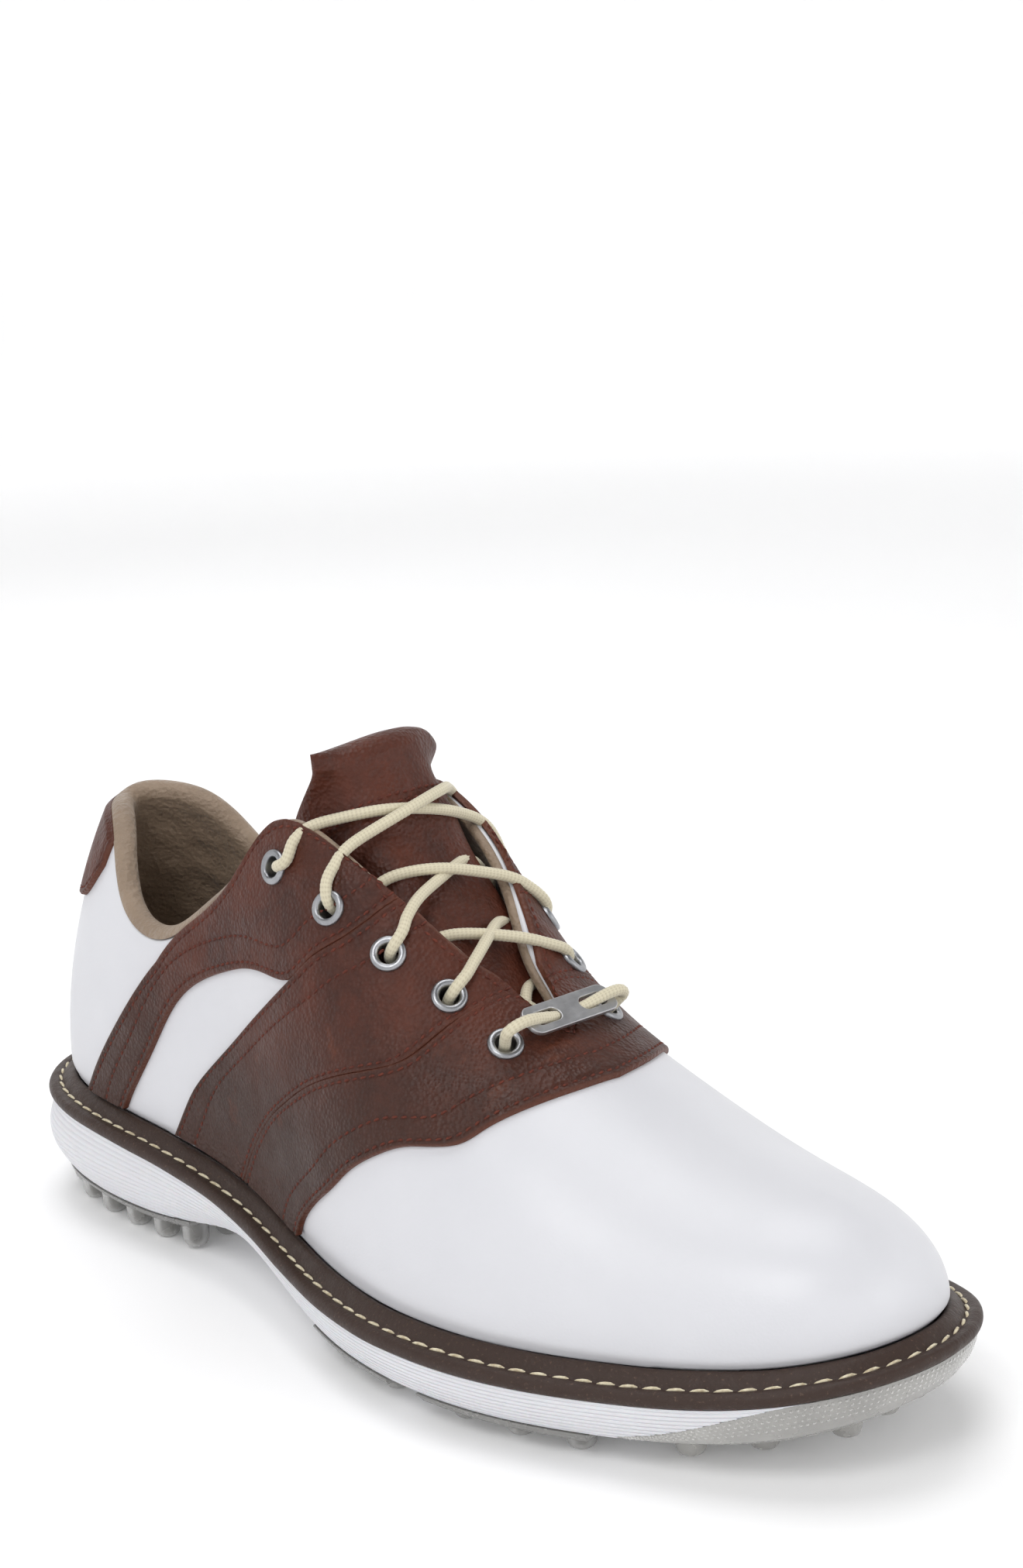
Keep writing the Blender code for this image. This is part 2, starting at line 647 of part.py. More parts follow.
def lining_depth(r, q):
    return -(LEATHER + 2 * GAP + padding(r, q))


def make_linings():
    q = np.linspace(0, 1, 9)
    split = 23 / 36
    r, q2, v = grid_of(np.linspace(split, 2 - split, 27), q)
    outer = lining_depth(r, q2)
    layer("vamp_lining", r, v, outer, outer - LINING, "lining")
    rest = np.linspace(2 - split + 0.002, 2 + split - 0.002, 41)
    r, q2, v = grid_of(rest, q)
    outer = lining_depth(r, q2)
    layer("quarter_lining", r, v, outer, outer - LINING, "lining")


def make_stiffeners():
    outer = -(LEATHER + GAP)
    r, q, v = grid_of(np.linspace(2 - 0.22, 2 + 0.22, 17), np.linspace(0.03, 0.45, 5))
    layer("heel_counter", r, v, outer, outer - padding(r, q), "board")
    r, q, v = grid_of(np.linspace(0.86, 1.14, 15), np.linspace(0.03, 1, 9))
    layer("toe_puff", r, v, outer - 0.35, outer - padding(r, q), "board")
    r, q, v = grid_of(np.linspace(2 - 0.32, 2 + 0.32, 25), np.linspace(0.6, 1, 5))
    layer("collar_foam", r, v, outer, outer - padding(r, q) + 0.5, "foam")


def band_grid(edges, steps, across, mirrored=False):
    """The grid of (r, v) between a band's two edges, from the welt up."""
    grids = []
    for points in edges:
        p = np.array(points, float)
        knots = np.linspace(0, 1, len(p))
        t = np.linspace(0, 1, steps)
        grids.append(np.stack([curve(list(zip(knots, p[:, k])))(t) for k in (0, 1)], -1))
    share = np.linspace(0, 1, across)[None, :, None]
    grid = grids[0][:, None] * (1 - share) + grids[1][:, None] * share
    r, v = grid[..., 0], grid[..., 1]
    if mirrored:
        # The inner side has its own heights: v keeps its share of the way up to the upper's end.
        v = v * np.minimum(1, top_of(2 - r) / top_of(r))
        r = 2 - r
    return r, v


def make_overlays():
    for name, edges, steps, across in (("rear", REAR_BAND, 17, 5), ("middle", MIDDLE_BAND, 17, 6)):
        for side in ("lateral", "medial"):
            r, v = band_grid(edges, steps, across, side == "medial")
            layer(f"saddle_{name}_{side}", r, v, OVERLAY[1], OVERLAY[0], "brown_leather")
    r1, v1 = band_grid(FRONT_BAND, 21, 6)
    r2, v2 = band_grid(FRONT_BAND, 21, 6, mirrored=True)
    r = np.concatenate([r1, r2[-2::-1]])
    v = np.concatenate([v1, v2[-2::-1]])
    layer("saddle_front", r, v, OVERLAY[1], OVERLAY[0], "brown_leather")
    r = np.linspace(2 - 0.118, 2 + 0.118, 13)
    low = heel_tab_low(from_heel(r))
    high = top_of(r) - 0.006
    share = np.linspace(0, 1, 5)
    v = low[:, None] + (high - low)[:, None] * share
    layer("heel_tab", np.broadcast_to(r[:, None], v.shape), v, OVERLAY[1], OVERLAY[0], "brown_leather")


# ---------------------------------------------------------------- the tongue

tongue_steps = np.linalg.norm(np.diff(np.array(TONGUE)[:, :2], axis=0), axis=1)
tongue_knots = np.concatenate([[0], np.cumsum(tongue_steps)])
tongue_x, tongue_z, tongue_half, tongue_arch, tongue_y = (
    curve(list(zip(tongue_knots / tongue_knots[-1], np.array(TONGUE)[:, k]))) for k in range(5)
)


def tongue_point(t, w, depth=0.0):
    """A point of the tongue: t from its base to its top, w across it from -1 to 1, depth below its face."""
    t, w, depth = np.broadcast_arrays(*(np.asarray(a, float) for a in (t, w, depth)))
    small = 1e-3
    dx, dz = tongue_x(t + small) - tongue_x(t - small), tongue_z(t + small) - tongue_z(t - small)
    length = np.hypot(dx, dz) + 1e-9
    in_x, in_z = -dz / length, dx / length
    half, arch = tongue_half(t), tongue_arch(t)
    turn = np.arctan(2 * arch * w / half)
    sink = arch * w * w + depth * np.cos(turn)
    y = tongue_y(t) + half * w - depth * np.sin(turn)
    return np.stack([tongue_x(t) + in_x * sink, y, tongue_z(t) + in_z * sink], -1)


def tongue_sheet(name, t_range, w_range, outer, inner, slot):
    t, w = np.meshgrid(np.linspace(*t_range, 14), np.linspace(-w_range, w_range, 7), indexing="ij")
    points = np.concatenate([
        tongue_point(t, w, outer(t, w)).reshape(-1, 3),
        tongue_point(t, w, inner(t, w)).reshape(-1, 3),
    ])
    return add_mesh(name, points, shell_faces(*t.shape), slot)


def make_tongue():
    pivot = bpy.data.objects.new("tongue_pivot", None)
    pivot.location = Vector((TONGUE[0][0], 0, TONGUE[0][1])) * MM
    bpy.context.scene.collection.objects.link(pivot)

    def foam(t, w):
        rise = TONGUE_FOAM_BASE + (TONGUE_FOAM_TOP - TONGUE_FOAM_BASE) * smooth((t - 0.45) / 0.4)
        return rise * (1 - 0.45 * w**4)

    face, gap = TONGUE_FACE, 0.5
    sheets = [
        tongue_sheet("tongue_face", (0.0, 0.998), 1.0, lambda t, w: 0 * t,
                     lambda t, w: face + 0 * t, "brown_leather"),
        tongue_sheet("tongue_foam", (0.02, 0.985), 0.95, lambda t, w: face + gap + 0 * t,
                     lambda t, w: face + gap + foam(t, w), "foam"),
        tongue_sheet("tongue_lining", (0.0, 0.998), 1.0, lambda t, w: face + 2 * gap + foam(t, w),
                     lambda t, w: face + 2 * gap + foam(t, w) + TONGUE_LINING, "lining"),
    ]
    for sheet in sheets:
        sheet.parent = pivot
        sheet.matrix_parent_inverse = Matrix.Translation(-pivot.location)


# ---------------------------------------------------------------- eyelets, lace and tag

def eyelet_place(row, number):
    r, v = (EYELETS_OUTER if row == "lateral" else EYELETS_INNER)[number - 1]
    point, normal = upper_point(np.array([r]), np.array([v]))
    return point[0], normal[0]


def make_eyelets():
    top, bottom = OVERLAY[1] + 0.4, -(LEATHER + 2 * GAP + 0.1 + LINING + 0.8)
    profile = [
        (EYELET_BORE, bottom - 0.6), (EYELET_FLANGE - 1.0, bottom - 0.6), (EYELET_FLANGE - 1.0, bottom),
        (EYELET_BARREL, bottom), (EYELET_BARREL, top), (EYELET_FLANGE, top), (EYELET_FLANGE - 0.5, top + 0.7),
        (EYELET_BORE + 0.5, top + 0.8), (EYELET_BORE, top + 0.3),
    ]
    for row in ("lateral", "medial"):
        for number in range(1, 6):
            centre, axis = eyelet_place(row, number)
            points, faces = turned(profile, 10, centre, axis)
            add_mesh(f"eyelet_{row}_{number}", points, faces, "steel")


def punch_eyelet_holes():
    """Cuts the holes that the eyelets' barrels go through in every layer of the facings."""
    layers = [bpy.data.objects[name] for name in (
        "quarter_lateral", "quarter_medial", "quarter_lining", "vamp_lining", "saddle_front",
        "saddle_rear_lateral", "saddle_rear_medial", "saddle_middle_lateral", "saddle_middle_medial", "vamp",
    )]
    for row in ("lateral", "medial"):
        for number in range(1, 6):
            centre, axis = eyelet_place(row, number)
            points, faces = bar(EYELET_HOLE, -6, 6, 10, centre, axis)
            cutter = add_mesh(f"cutter_{row}_{number}", points, faces, "steel")
            cutter.hide_render = True
            cutter.display_type = "WIRE"
            for part in layers:
                corners = np.array([part.matrix_world @ vert.co for vert in part.data.vertices]) / MM
                nearest = np.linalg.norm(corners - centre, axis=1).min()
                sided = part.name.endswith(("lateral", "medial"))
                other_side = sided and (row == "medial") != ("medial" in part.name)
                if other_side or nearest > 9:
                    continue
                cut = part.modifiers.new("hole", "BOOLEAN")
                cut.object = cutter
                cut.solver = "EXACT"


def over_tongue(start, end, lift):
    """Points on the way from one edge of the throat to the other, laid over the tongue."""
    t, w = np.meshgrid(np.linspace(0, 1, 81), np.linspace(-1, 1, 33), indexing="ij")
    face = tongue_point(t, w).reshape(-1, 3)
    outward = tongue_point(t, w, -1.0).reshape(-1, 3) - face
    points = []
    for share in (0.14, 0.32, 0.5, 0.68, 0.86):
        p = start + (end - start) * share
        clear = LACE_RADIUS + 0.8 + lift * math.sin(math.pi * share)**2
        for _ in range(80):
            nearest = np.argmin(np.linalg.norm(face - p, axis=1))
            if (p - face[nearest]) @ outward[nearest] >= clear:
                break
            p = p + outward[nearest] * 0.25
        points.append(p)
    return points


def lace_lead(row, number, over, towards):
    """The lace's way from the bore of an eyelet to the throat's edge, above or below the leather."""
    centre, axis = eyelet_place(row, number)
    across = towards - centre
    across -= axis * (across @ axis)
    across /= np.linalg.norm(across)
    if over:
        return [centre + axis * 3.2 + across * 0.1, centre + axis * OVER_RISE + across * 2.0,
                centre + axis * OVER_RISE + across * 5.0]
    return [centre - axis * (UNDER_RISE - 1.1), centre - axis * UNDER_RISE + across * 2.0,
            centre - axis * (UNDER_RISE + 0.5) + across * 5.0]


def throat_edge(row, rho, over):
    """Where the lace passes the edge of the throat, above or below the leather."""
    r = np.array([rho if row == "lateral" else 2 - rho])
    lift = OVER_RISE - 0.7 if over else -UNDER_RISE + 1.3
    return upper_point(r, top_of(r) + 0.07, lift)[0][0]


def span(start, end, start_over, end_over, lift):
    """The lace's way across the throat between two eyelets, over or under each edge."""
    near, far = eyelet_place(*start)[0], eyelet_place(*end)[0]
    lead = lace_lead(*start, start_over, far)
    finish = lace_lead(*end, end_over, near)[::-1]
    rho = [from_heel((EYELETS_OUTER if row == "lateral" else EYELETS_INNER)[n - 1][0]) for row, n in (start, end)]
    edges = [throat_edge(start[0], rho[0] * 0.82 + rho[1] * 0.18, start_over),
             throat_edge(end[0], rho[0] * 0.18 + rho[1] * 0.82, end_over)]
    return [*lead, edges[0], *over_tongue(*edges, lift), edges[1], *finish]


def strand(stops, lift):
    """Half of the lace, from the lowest eyelet of one row to the highest of the other."""
    path = [eyelet_place(*stops[0])[0]]
    for i, (start, end) in enumerate(zip(stops, stops[1:])):
        path += span(start, end, i > 0, i == 3, lift)
        path.append(eyelet_place(*end)[0])
    return path


def lace_tail(row):
    """The tucked end of the lace, down the inside of the facing."""
    side = -1 if row == "lateral" else 1
    centre, axis = eyelet_place(row, 1)
    inside = centre - axis * UNDER_RISE
    return [inside, inside + (2, -1.5 * side, -8), inside + (6, -2.5 * side, -19), inside + (11, -3 * side, -31)]


def make_lace():
    one = [("lateral", 5), ("medial", 4), ("lateral", 3), ("medial", 2), ("lateral", 1)]
    other = [({"lateral": "medial", "medial": "lateral"}[row], n) for row, n in one]
    path = lace_tail("lateral")[::-1] + strand(one, 0.0)[::-1] + tag_passage()
    path += strand(other, 3.3) + lace_tail("medial")
    return tube("lace", through(path, LACE_STEP), LACE_RADIUS, "cord", sides=1)


def make_aglets():
    for row in ("lateral", "medial"):
        tail = lace_tail(row)
        along = tail[-1] - tail[-2]
        along /= np.linalg.norm(along)
        points, faces = bar(AGLET_RADIUS, 0.3, 0.3 + AGLET_LENGTH, 10, tail[-1], along)
        add_mesh(f"aglet_{row}", points, faces, "steel")


def tag_frame():
    """The tag's centre, its long direction and its outward direction."""
    near, _ = eyelet_place("lateral", 5)
    far, _ = eyelet_place("medial", 5)
    along = (far - near) / np.linalg.norm(far - near)
    out = np.array([0.56, 0, 0.83])
    out -= along * (out @ along)
    out /= np.linalg.norm(out)
    return (near + far) / 2 + along * 1.0 + out * 9.5, along, out


def tag_passage():
    """The lace's way from the outer row to the inner row through the tag's two slots."""
    centre, along, out = tag_frame()
    steps = ((-20, 0.5), (-13, 2.4), (-9.5, 1.6), (-7.6, 0), (-5.5, -1.8), (0, -2.4), (5.5, -1.8), (7.6, 0),
             (9.5, 1.6),
             (13, 2.4), (20, 0.5))
    return [centre + along * a + out * o for a, o in steps]


def make_tag():
    centre, along, out = tag_frame()
    side = np.cross(out, along)

    def ring(length, width, segments):
        """A slot-shaped outline, with half round ends."""
        radius, straight = width / 2, (length - width) / 2
        points = []
        for end, first in ((1, -90), (-1, 90)):
            for k in range(segments + 1):
                angle = math.radians(first + 180 * k / segments)
                points.append((end * straight + radius * math.cos(angle), radius * math.sin(angle)))
        return points

    outer = ring(TAG_LENGTH, TAG_WIDTH, 6)
    bm = bmesh.new()
    verts = [bm.verts.new((a, b, -TAG_THICK / 2)) for a, b in outer]
    face = bm.faces.new(verts)
    drawn = bmesh.ops.extrude_face_region(bm, geom=[face])["geom"]
    bmesh.ops.translate(bm, vec=(0, 0, TAG_THICK), verts=[g for g in drawn if isinstance(g, bmesh.types.BMVert)])
    bmesh.ops.recalc_face_normals(bm, faces=bm.faces)
    mesh = bpy.data.meshes.new("lace_tag")
    bm.to_mesh(mesh)
    bm.free()
    tag = add_object("lace_tag", mesh, "steel")
    turn = Matrix((along, side, out)).transposed().to_4x4()
    place = Matrix.Translation(Vector(centre * MM)) @ turn @ Matrix.Scale(MM, 4)
    for end in (-1, 1):
        slot = bmesh.new()
        points = ring(*TAG_SLOT, 5)
        verts = [slot.verts.new((a + end * TAG_SLOT_OFFSET, b, -2)) for a, b in points]
        face = slot.faces.new(verts)
        drawn = bmesh.ops.extrude_face_region(slot, geom=[face])["geom"]
        bmesh.ops.translate(slot, vec=(0, 0, 4), verts=[g for g in drawn if isinstance(g, bmesh.types.BMVert)])
        bmesh.ops.recalc_face_normals(slot, faces=slot.faces)
        cut_mesh = bpy.data.meshes.new(f"cutter_slot_{end}")
        slot.to_mesh(cut_mesh)
        slot.free()
        cut_mesh.transform(place)
        cutter = add_object(f"cutter_slot_{end}", cut_mesh, "steel")
        cutter.hide_render = True
        cutter.display_type = "WIRE"
        cut = tag.modifiers.new("slot", "BOOLEAN")
        cut.object = cutter
        cut.solver = "EXACT"
    tag.data.transform(Matrix.Scale(MM, 4))
    tag.matrix_world = Matrix.Translation(Vector(centre * MM)) @ turn
    return tag


def main():
    for old in list(bpy.data.objects):
        bpy.data.objects.remove(old)
    MATERIALS.update(make_materials())
    make_midsole()
    make_pod("outsole_heel", -140, -64, 0.0, 1.0, 2.4)
    make_pod("outsole_waist_lateral", 2, 36, 0.0, 0.44, 2.0)
    make_pod("outsole_waist_medial", 2, 36, 0.56, 1.0, 2.0)
    make_pod("outsole_ball_lateral", 46, 90, 0.0, 0.46, 2.0)
    make_pod("outsole_ball_medial", 46, 90, 0.54, 1.0, 2.0)
    make_toe_piece()
    make_welt()
    make_welt_thread()
    flat_insole("insole_board", 12.6, 2.6, 4.8, "board")
    make_shank()
    flat_insole("sockliner", 12.9, 5.4, 10.0, "foam", cup=1.5)
    make_vamp()
    make_quarter("quarter_lateral", inner=False)
    make_quarter("quarter_medial", inner=True)
    make_linings()
    make_stiffeners()
    make_overlays()
    make_tongue()
    make_eyelets()
    punch_eyelet_holes()
    make_lace()
    make_aglets()
    make_tag()
    for thing in bpy.context.scene.objects:
        if thing.parent is None:
            thing.location += Vector((*CENTRING, 0)) * MM


main()
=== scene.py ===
"""The looks of a laced golf shoe: leather, lining, stitching, laces and sole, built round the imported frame.

Lengths are in millimetres up to the moment a mesh is made, in the frame of the part: +X to the toe, +Y to
the inner side of the foot, +Z up. The upper is the surface upper_point(r, v), as in the part: r runs round
the lasting line from the heel (0) along the outer side to the toe (1) and back (2); v runs up to the crest.
"""

import json
import math

import bpy
import numpy as np
from mathutils import Matrix, Vector


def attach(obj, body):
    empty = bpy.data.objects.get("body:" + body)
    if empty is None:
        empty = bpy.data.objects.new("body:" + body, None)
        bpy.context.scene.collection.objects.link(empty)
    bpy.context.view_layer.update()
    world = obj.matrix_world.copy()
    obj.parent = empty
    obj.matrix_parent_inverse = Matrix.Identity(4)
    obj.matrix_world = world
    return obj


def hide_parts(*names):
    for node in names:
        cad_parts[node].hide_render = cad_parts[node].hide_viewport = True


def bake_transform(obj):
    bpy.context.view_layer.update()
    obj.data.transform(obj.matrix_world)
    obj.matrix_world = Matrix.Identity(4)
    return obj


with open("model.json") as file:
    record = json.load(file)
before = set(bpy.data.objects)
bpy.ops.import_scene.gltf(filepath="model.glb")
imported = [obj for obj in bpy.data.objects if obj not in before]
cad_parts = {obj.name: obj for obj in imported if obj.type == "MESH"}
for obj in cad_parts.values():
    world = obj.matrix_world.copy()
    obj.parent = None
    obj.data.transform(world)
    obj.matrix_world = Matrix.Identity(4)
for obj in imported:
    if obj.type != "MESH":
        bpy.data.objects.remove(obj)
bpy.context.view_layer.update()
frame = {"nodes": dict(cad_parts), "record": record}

MM = 0.001
CENTRING = np.array([0.55, 1.58, 0.0])

# ---------------------------------------------------------------- the camera

CAMERA_PLACE = (412.4, -371.1, 260.0)
CAMERA_AZIMUTH, CAMERA_ELEVATION, CAMERA_ROLL = 46.19, 20.33, -2.26
CAMERA_LENS, CAMERA_SHIFT = 54.5, 0.192


def make_camera():
    """The photo's camera, placed by its position, its angles and its shift."""
    azimuth, elevation, roll = (math.radians(a) for a in (CAMERA_AZIMUTH, CAMERA_ELEVATION, CAMERA_ROLL))
    back = Vector((math.sin(azimuth) * math.cos(elevation), -math.cos(azimuth) * math.cos(elevation),
                   math.sin(elevation)))
    right = Vector((math.cos(azimuth), math.sin(azimuth), 0))
    up = back.cross(right)
    turned_right = right * math.cos(roll) + up * math.sin(roll)
    turned_up = up * math.cos(roll) - right * math.sin(roll)
    data = bpy.data.cameras.new("camera")
    data.lens, data.shift_y = CAMERA_LENS, CAMERA_SHIFT
    data.clip_start, data.clip_end = 0.01, 50
    camera = bpy.data.objects.new("camera", data)
    bpy.context.scene.collection.objects.link(camera)
    camera.matrix_world = Matrix((turned_right, turned_up, back)).transposed().to_4x4()
    camera.location = (Vector(CAMERA_PLACE) + Vector(CENTRING)) * MM
    bpy.context.scene.camera = camera


make_camera()

# ---------------------------------------------------------------- the last and the upper's surface

WELT_EDGE = [
    (-150, 0), (-137, -25.5), (-112, -36), (-75, -37.5), (-38, -39.5), (0, -50), (35, -57), (65, -54.5),
    (95, -44.5), (122, -32.5), (142, -16), (149.5, 4.5), (145, 24.5), (130, 41), (103, 51), (72, 54),
    (42, 51.5), (12, 45.5), (-18, 40), (-48, 37), (-82, 37), (-112, 37), (-137, 25.5),
]
WELT_HEIGHT = [
    (-155, 30), (-110, 29), (-60, 24.3), (-10, 17.3), (40, 16.4), (90, 17.2), (125, 21), (155, 28.5),
]
SOLE_BASE = [
    (-155, 13.5), (-138, 10.5), (-110, 9.5), (-80, 9.5), (-60, 12), (-42, 14.5), (-22, 11.5), (0, 7.6),
    (30, 6.8), (80, 7), (110, 9), (132, 13.5), (155, 22),
]
LASTING_INSET = 7.0
WELT_RISE = 6.0
CREST = [
    (-104, 129), (-70, 136), (-35, 154), (-5, 134.5), (25, 95), (55, 74), (85, 61.5), (116, 56), (150, 50),
]
CREST_Y = [(-150, 0), (-60, 0), (50, 0), (118, 7), (150, 8)]
CREST_REAR, CREST_FRONT = -104.0, 116.0
HANDLE_X = (-104, -60, -15, 40, 116)
WALL_OUTER = (0.408, 0.514, 0.638, 0.532, 0.565)
WALL_INNER = (0.593, 0.607, 0.728, 0.596, 0.509)
CROWN_OUTER = (0.43, 0.507, 0.575, 0.533, 0.567)
CROWN_INNER = (0.594, 0.607, 0.702, 0.636, 0.559)
BULGE = (1.3, 1.5, 3.1, 0.9, 0.13)
TOP_OUTER = [
    (0, 0.615), (0.08, 0.61), (0.125, 0.536), (0.171, 0.418), (0.214, 0.345), (0.255, 0.321), (0.309, 0.354),
    (0.358, 0.434), (0.387, 0.532), (0.421, 0.592), (0.471, 0.671), (0.518, 0.777), (0.577, 0.914),
    (0.622, 0.956), (0.645, 1.0),
]
TOP_INNER = [
    (0, 0.615), (0.08, 0.6), (0.125, 0.55), (0.171, 0.43), (0.214, 0.34), (0.255, 0.305), (0.309, 0.334),
    (0.358, 0.41), (0.387, 0.5), (0.421, 0.553), (0.471, 0.62), (0.518, 0.735), (0.577, 0.887),
    (0.622, 0.941), (0.645, 1.0),
]
REAR_BAND = (
    [(0.146, 0.012), (0.169, 0.091), (0.199, 0.179), (0.235, 0.262), (0.275, 0.312), (0.318, 0.347),
     (0.352, 0.405), (0.376, 0.49), (0.412, 0.565), (0.455, 0.632), (0.492, 0.71)],
    [(0.203, 0.012), (0.217, 0.057), (0.244, 0.131), (0.268, 0.195), (0.298, 0.237), (0.345, 0.268),
     (0.395, 0.305), (0.44, 0.355), (0.466, 0.452), (0.489, 0.565), (0.507, 0.735)],
)
MIDDLE_BAND = (
    [(0.27, 0.012), (0.289, 0.062), (0.313, 0.11), (0.362, 0.181), (0.413, 0.273), (0.449, 0.367),
     (0.47, 0.452), (0.493, 0.565), (0.511, 0.735)],
    [(0.365, 0.012), (0.385, 0.06), (0.42, 0.13), (0.462, 0.21), (0.51, 0.33), (0.545, 0.44),
     (0.569, 0.545), (0.583, 0.7), (0.6, 0.93)],
)
FRONT_BAND = (
    [(0.369, 0.012), (0.389, 0.06), (0.424, 0.13), (0.466, 0.21), (0.514, 0.33), (0.549, 0.44),
     (0.573, 0.545), (0.587, 0.7), (0.604, 0.93), (0.63, 0.962), (0.652, 1.0)],
    [(0.461, 0.012), (0.478, 0.054), (0.516, 0.134), (0.543, 0.216), (0.574, 0.32), (0.6, 0.399),
     (0.633, 0.48), (0.65, 0.57), (0.67, 0.69), (0.695, 0.85), (0.712, 1.0)],
)
HEEL_TAB_LOW = [(0, 0.4), (0.07, 0.405), (0.1, 0.43), (0.12, 0.5)]
EYELETS_OUTER = [(0.405, 0.481), (0.471, 0.554), (0.525, 0.654), (0.573, 0.754), (0.627, 0.796)]
EYELETS_INNER = [(1.589, 0.44), (1.523, 0.479), (1.471, 0.592), (1.425, 0.715), (1.371, 0.784)]
EYELET_BORE, EYELET_BARREL, EYELET_FLANGE = 2.4, 2.9, 4.3
LEATHER, LINING, GAP = 1.2, 0.8, 0.4
OVERLAY_TOP = 1.6
TONGUE = [
    (66, 57.5, 15, 3.5, 0), (54, 62.5, 16, 4.5, 0), (42, 71.5, 17, 7, 0), (30.5, 81, 18, 9, 0.3),
    (19.5, 93, 19.5, 11, 0.6), (9, 105.3, 21.3, 12.5, 0.8), (0, 116, 21.5, 13, 1), (-7, 127.5, 20.5, 11, 1.3),
    (-10.5, 134.5, 20.3, 8.5, 1.6), (-13, 143, 23.6, 5, 3.4),
]


def closed_spline(points):
    """A smooth closed curve through the points; the result takes fractions of its length."""
    p = np.array(points, float)
    n = len(p)
    h = np.linalg.norm(np.roll(p, -1, 0) - p, axis=1)
    system = np.zeros((n, n))
    right = np.zeros(p.shape)
    for i in range(n):
        before, after = h[i - 1], h[i]
        system[i, i - 1] += before
        system[i, i] += 2 * (before + after)
        system[i, (i + 1) % n] += after
        right[i] = 6 * ((p[(i + 1) % n] - p[i]) / after - (p[i] - p[i - 1]) / before)
    bend = np.linalg.solve(system, right)
    knots = np.concatenate([[0], np.cumsum(h)])

    def at(s):
        s = np.asarray(s) % 1.0 * knots[-1]
        i = np.clip(np.searchsorted(knots, s, side="right") - 1, 0, n - 1)
        j = (i + 1) % n
        step = h[i][:, None]
        t = (s - knots[i])[:, None]
        u = step - t
        cubic = (bend[i] * u**3 + bend[j] * t**3) / (6 * step)
        return cubic + (p[i] / step - bend[i] * step / 6) * u + (p[j] / step - bend[j] * step / 6) * t

    return at


def curve(points):
    """A smooth function through (x, y) points, held at its end values outside them."""
    x, y = np.array(points, float).T
    n = len(x)
    h = np.diff(x)
    system = np.eye(n)
    right = np.zeros(n)
    for i in range(1, n - 1):
        system[i, i - 1:i + 2] = h[i - 1], 2 * (h[i - 1] + h[i]), h[i]
        right[i] = 6 * ((y[i + 1] - y[i]) / h[i] - (y[i] - y[i - 1]) / h[i - 1])
    bend = np.linalg.solve(system, right)

    def at(q):
        q = np.clip(np.asarray(q, float), x[0], x[-1])
        i = np.clip(np.searchsorted(x, q, side="right") - 1, 0, n - 2)
        step = h[i]
        t = q - x[i]
        u = x[i + 1] - q
        cubic = (bend[i] * u**3 + bend[i + 1] * t**3) / (6 * step)
        return cubic + (y[i] / step - bend[i] * step / 6) * u + (y[i + 1] / step - bend[i + 1] * step / 6) * t

    return at


def smooth(x):
    """An S-shaped step from 0 to 1 as x goes from 0 to 1."""
    x = np.clip(x, 0, 1)
    return x * x * (3 - 2 * x)


def unit(vectors):
    return vectors / np.maximum(np.linalg.norm(vectors, axis=-1, keepdims=True), 1e-12)


def lengths(points, axis=0):
    """The length run from the first point to each point, along an axis of a grid."""
    steps = np.linalg.norm(np.diff(points, axis=axis), axis=-1)
    start = np.zeros_like(np.take(steps, [0], axis=axis))
    return np.concatenate([start, np.cumsum(steps, axis=axis)], axis=axis)


def between(at, run, points):
    """Points at lengths `at`, read between points that lie at lengths `run`."""
    return np.stack([np.interp(at, run, points[:, k]) for k in range(3)], -1)


def through(points, step):
    """Points about one step apart on a smooth curve through the given ones."""
    p = np.array(points, float)
    knots = lengths(p)
    axes = [curve(list(zip(knots, p[:, k]))) for k in range(p.shape[1])]
    s = np.linspace(0, knots[-1], max(2, round(knots[-1] / step) + 1))
    return np.stack([axis(s) for axis in axes], -1)


welt_edge = closed_spline(WELT_EDGE)
welt_height, sole_base = curve(WELT_HEIGHT), curve(SOLE_BASE)
crest, crest_y = curve(CREST), curve(CREST_Y)
wall_outer, wall_inner, crown_outer, crown_inner, bulge = (
    curve(list(zip(HANDLE_X, values))) for values in (WALL_OUTER, WALL_INNER, CROWN_OUTER, CROWN_INNER, BULGE)
)
top_outer, top_inner = curve(TOP_OUTER), curve(TOP_INNER)
heel_tab_low = curve(HEEL_TAB_LOW)


def outline(s, inset):
    """Points of the welt's edge moved inwards, and the outward directions there."""
    s = np.atleast_1d(np.asarray(s, float))
    d = unit(welt_edge(s + 1e-4) - welt_edge(s - 1e-4))
    outward = np.stack([d[:, 1], -d[:, 0]], -1)
    return welt_edge(s) - outward * np.reshape(inset, (-1, 1)), outward


TABLE = np.linspace(0, 1, 2001)
LASTING_LINE = outline(TABLE, LASTING_INSET)[0]
LASTING_LENGTH = lengths(LASTING_LINE)
TOE_LENGTH = LASTING_LENGTH[np.argmax(LASTING_LINE[:, 0])]
LASTING_LOW, LASTING_HIGH = LASTING_LINE[:, 0].min(), LASTING_LINE[:, 0].max()


def round_the_last(r):
    """The fraction of the welt's edge that r stands for."""
    r = np.asarray(r, float) % 2
    back = LASTING_LENGTH[-1] - TOE_LENGTH
    length = np.where(r <= 1, r * TOE_LENGTH, TOE_LENGTH + (r - 1) * back)
    return np.interp(length, LASTING_LENGTH, TABLE)


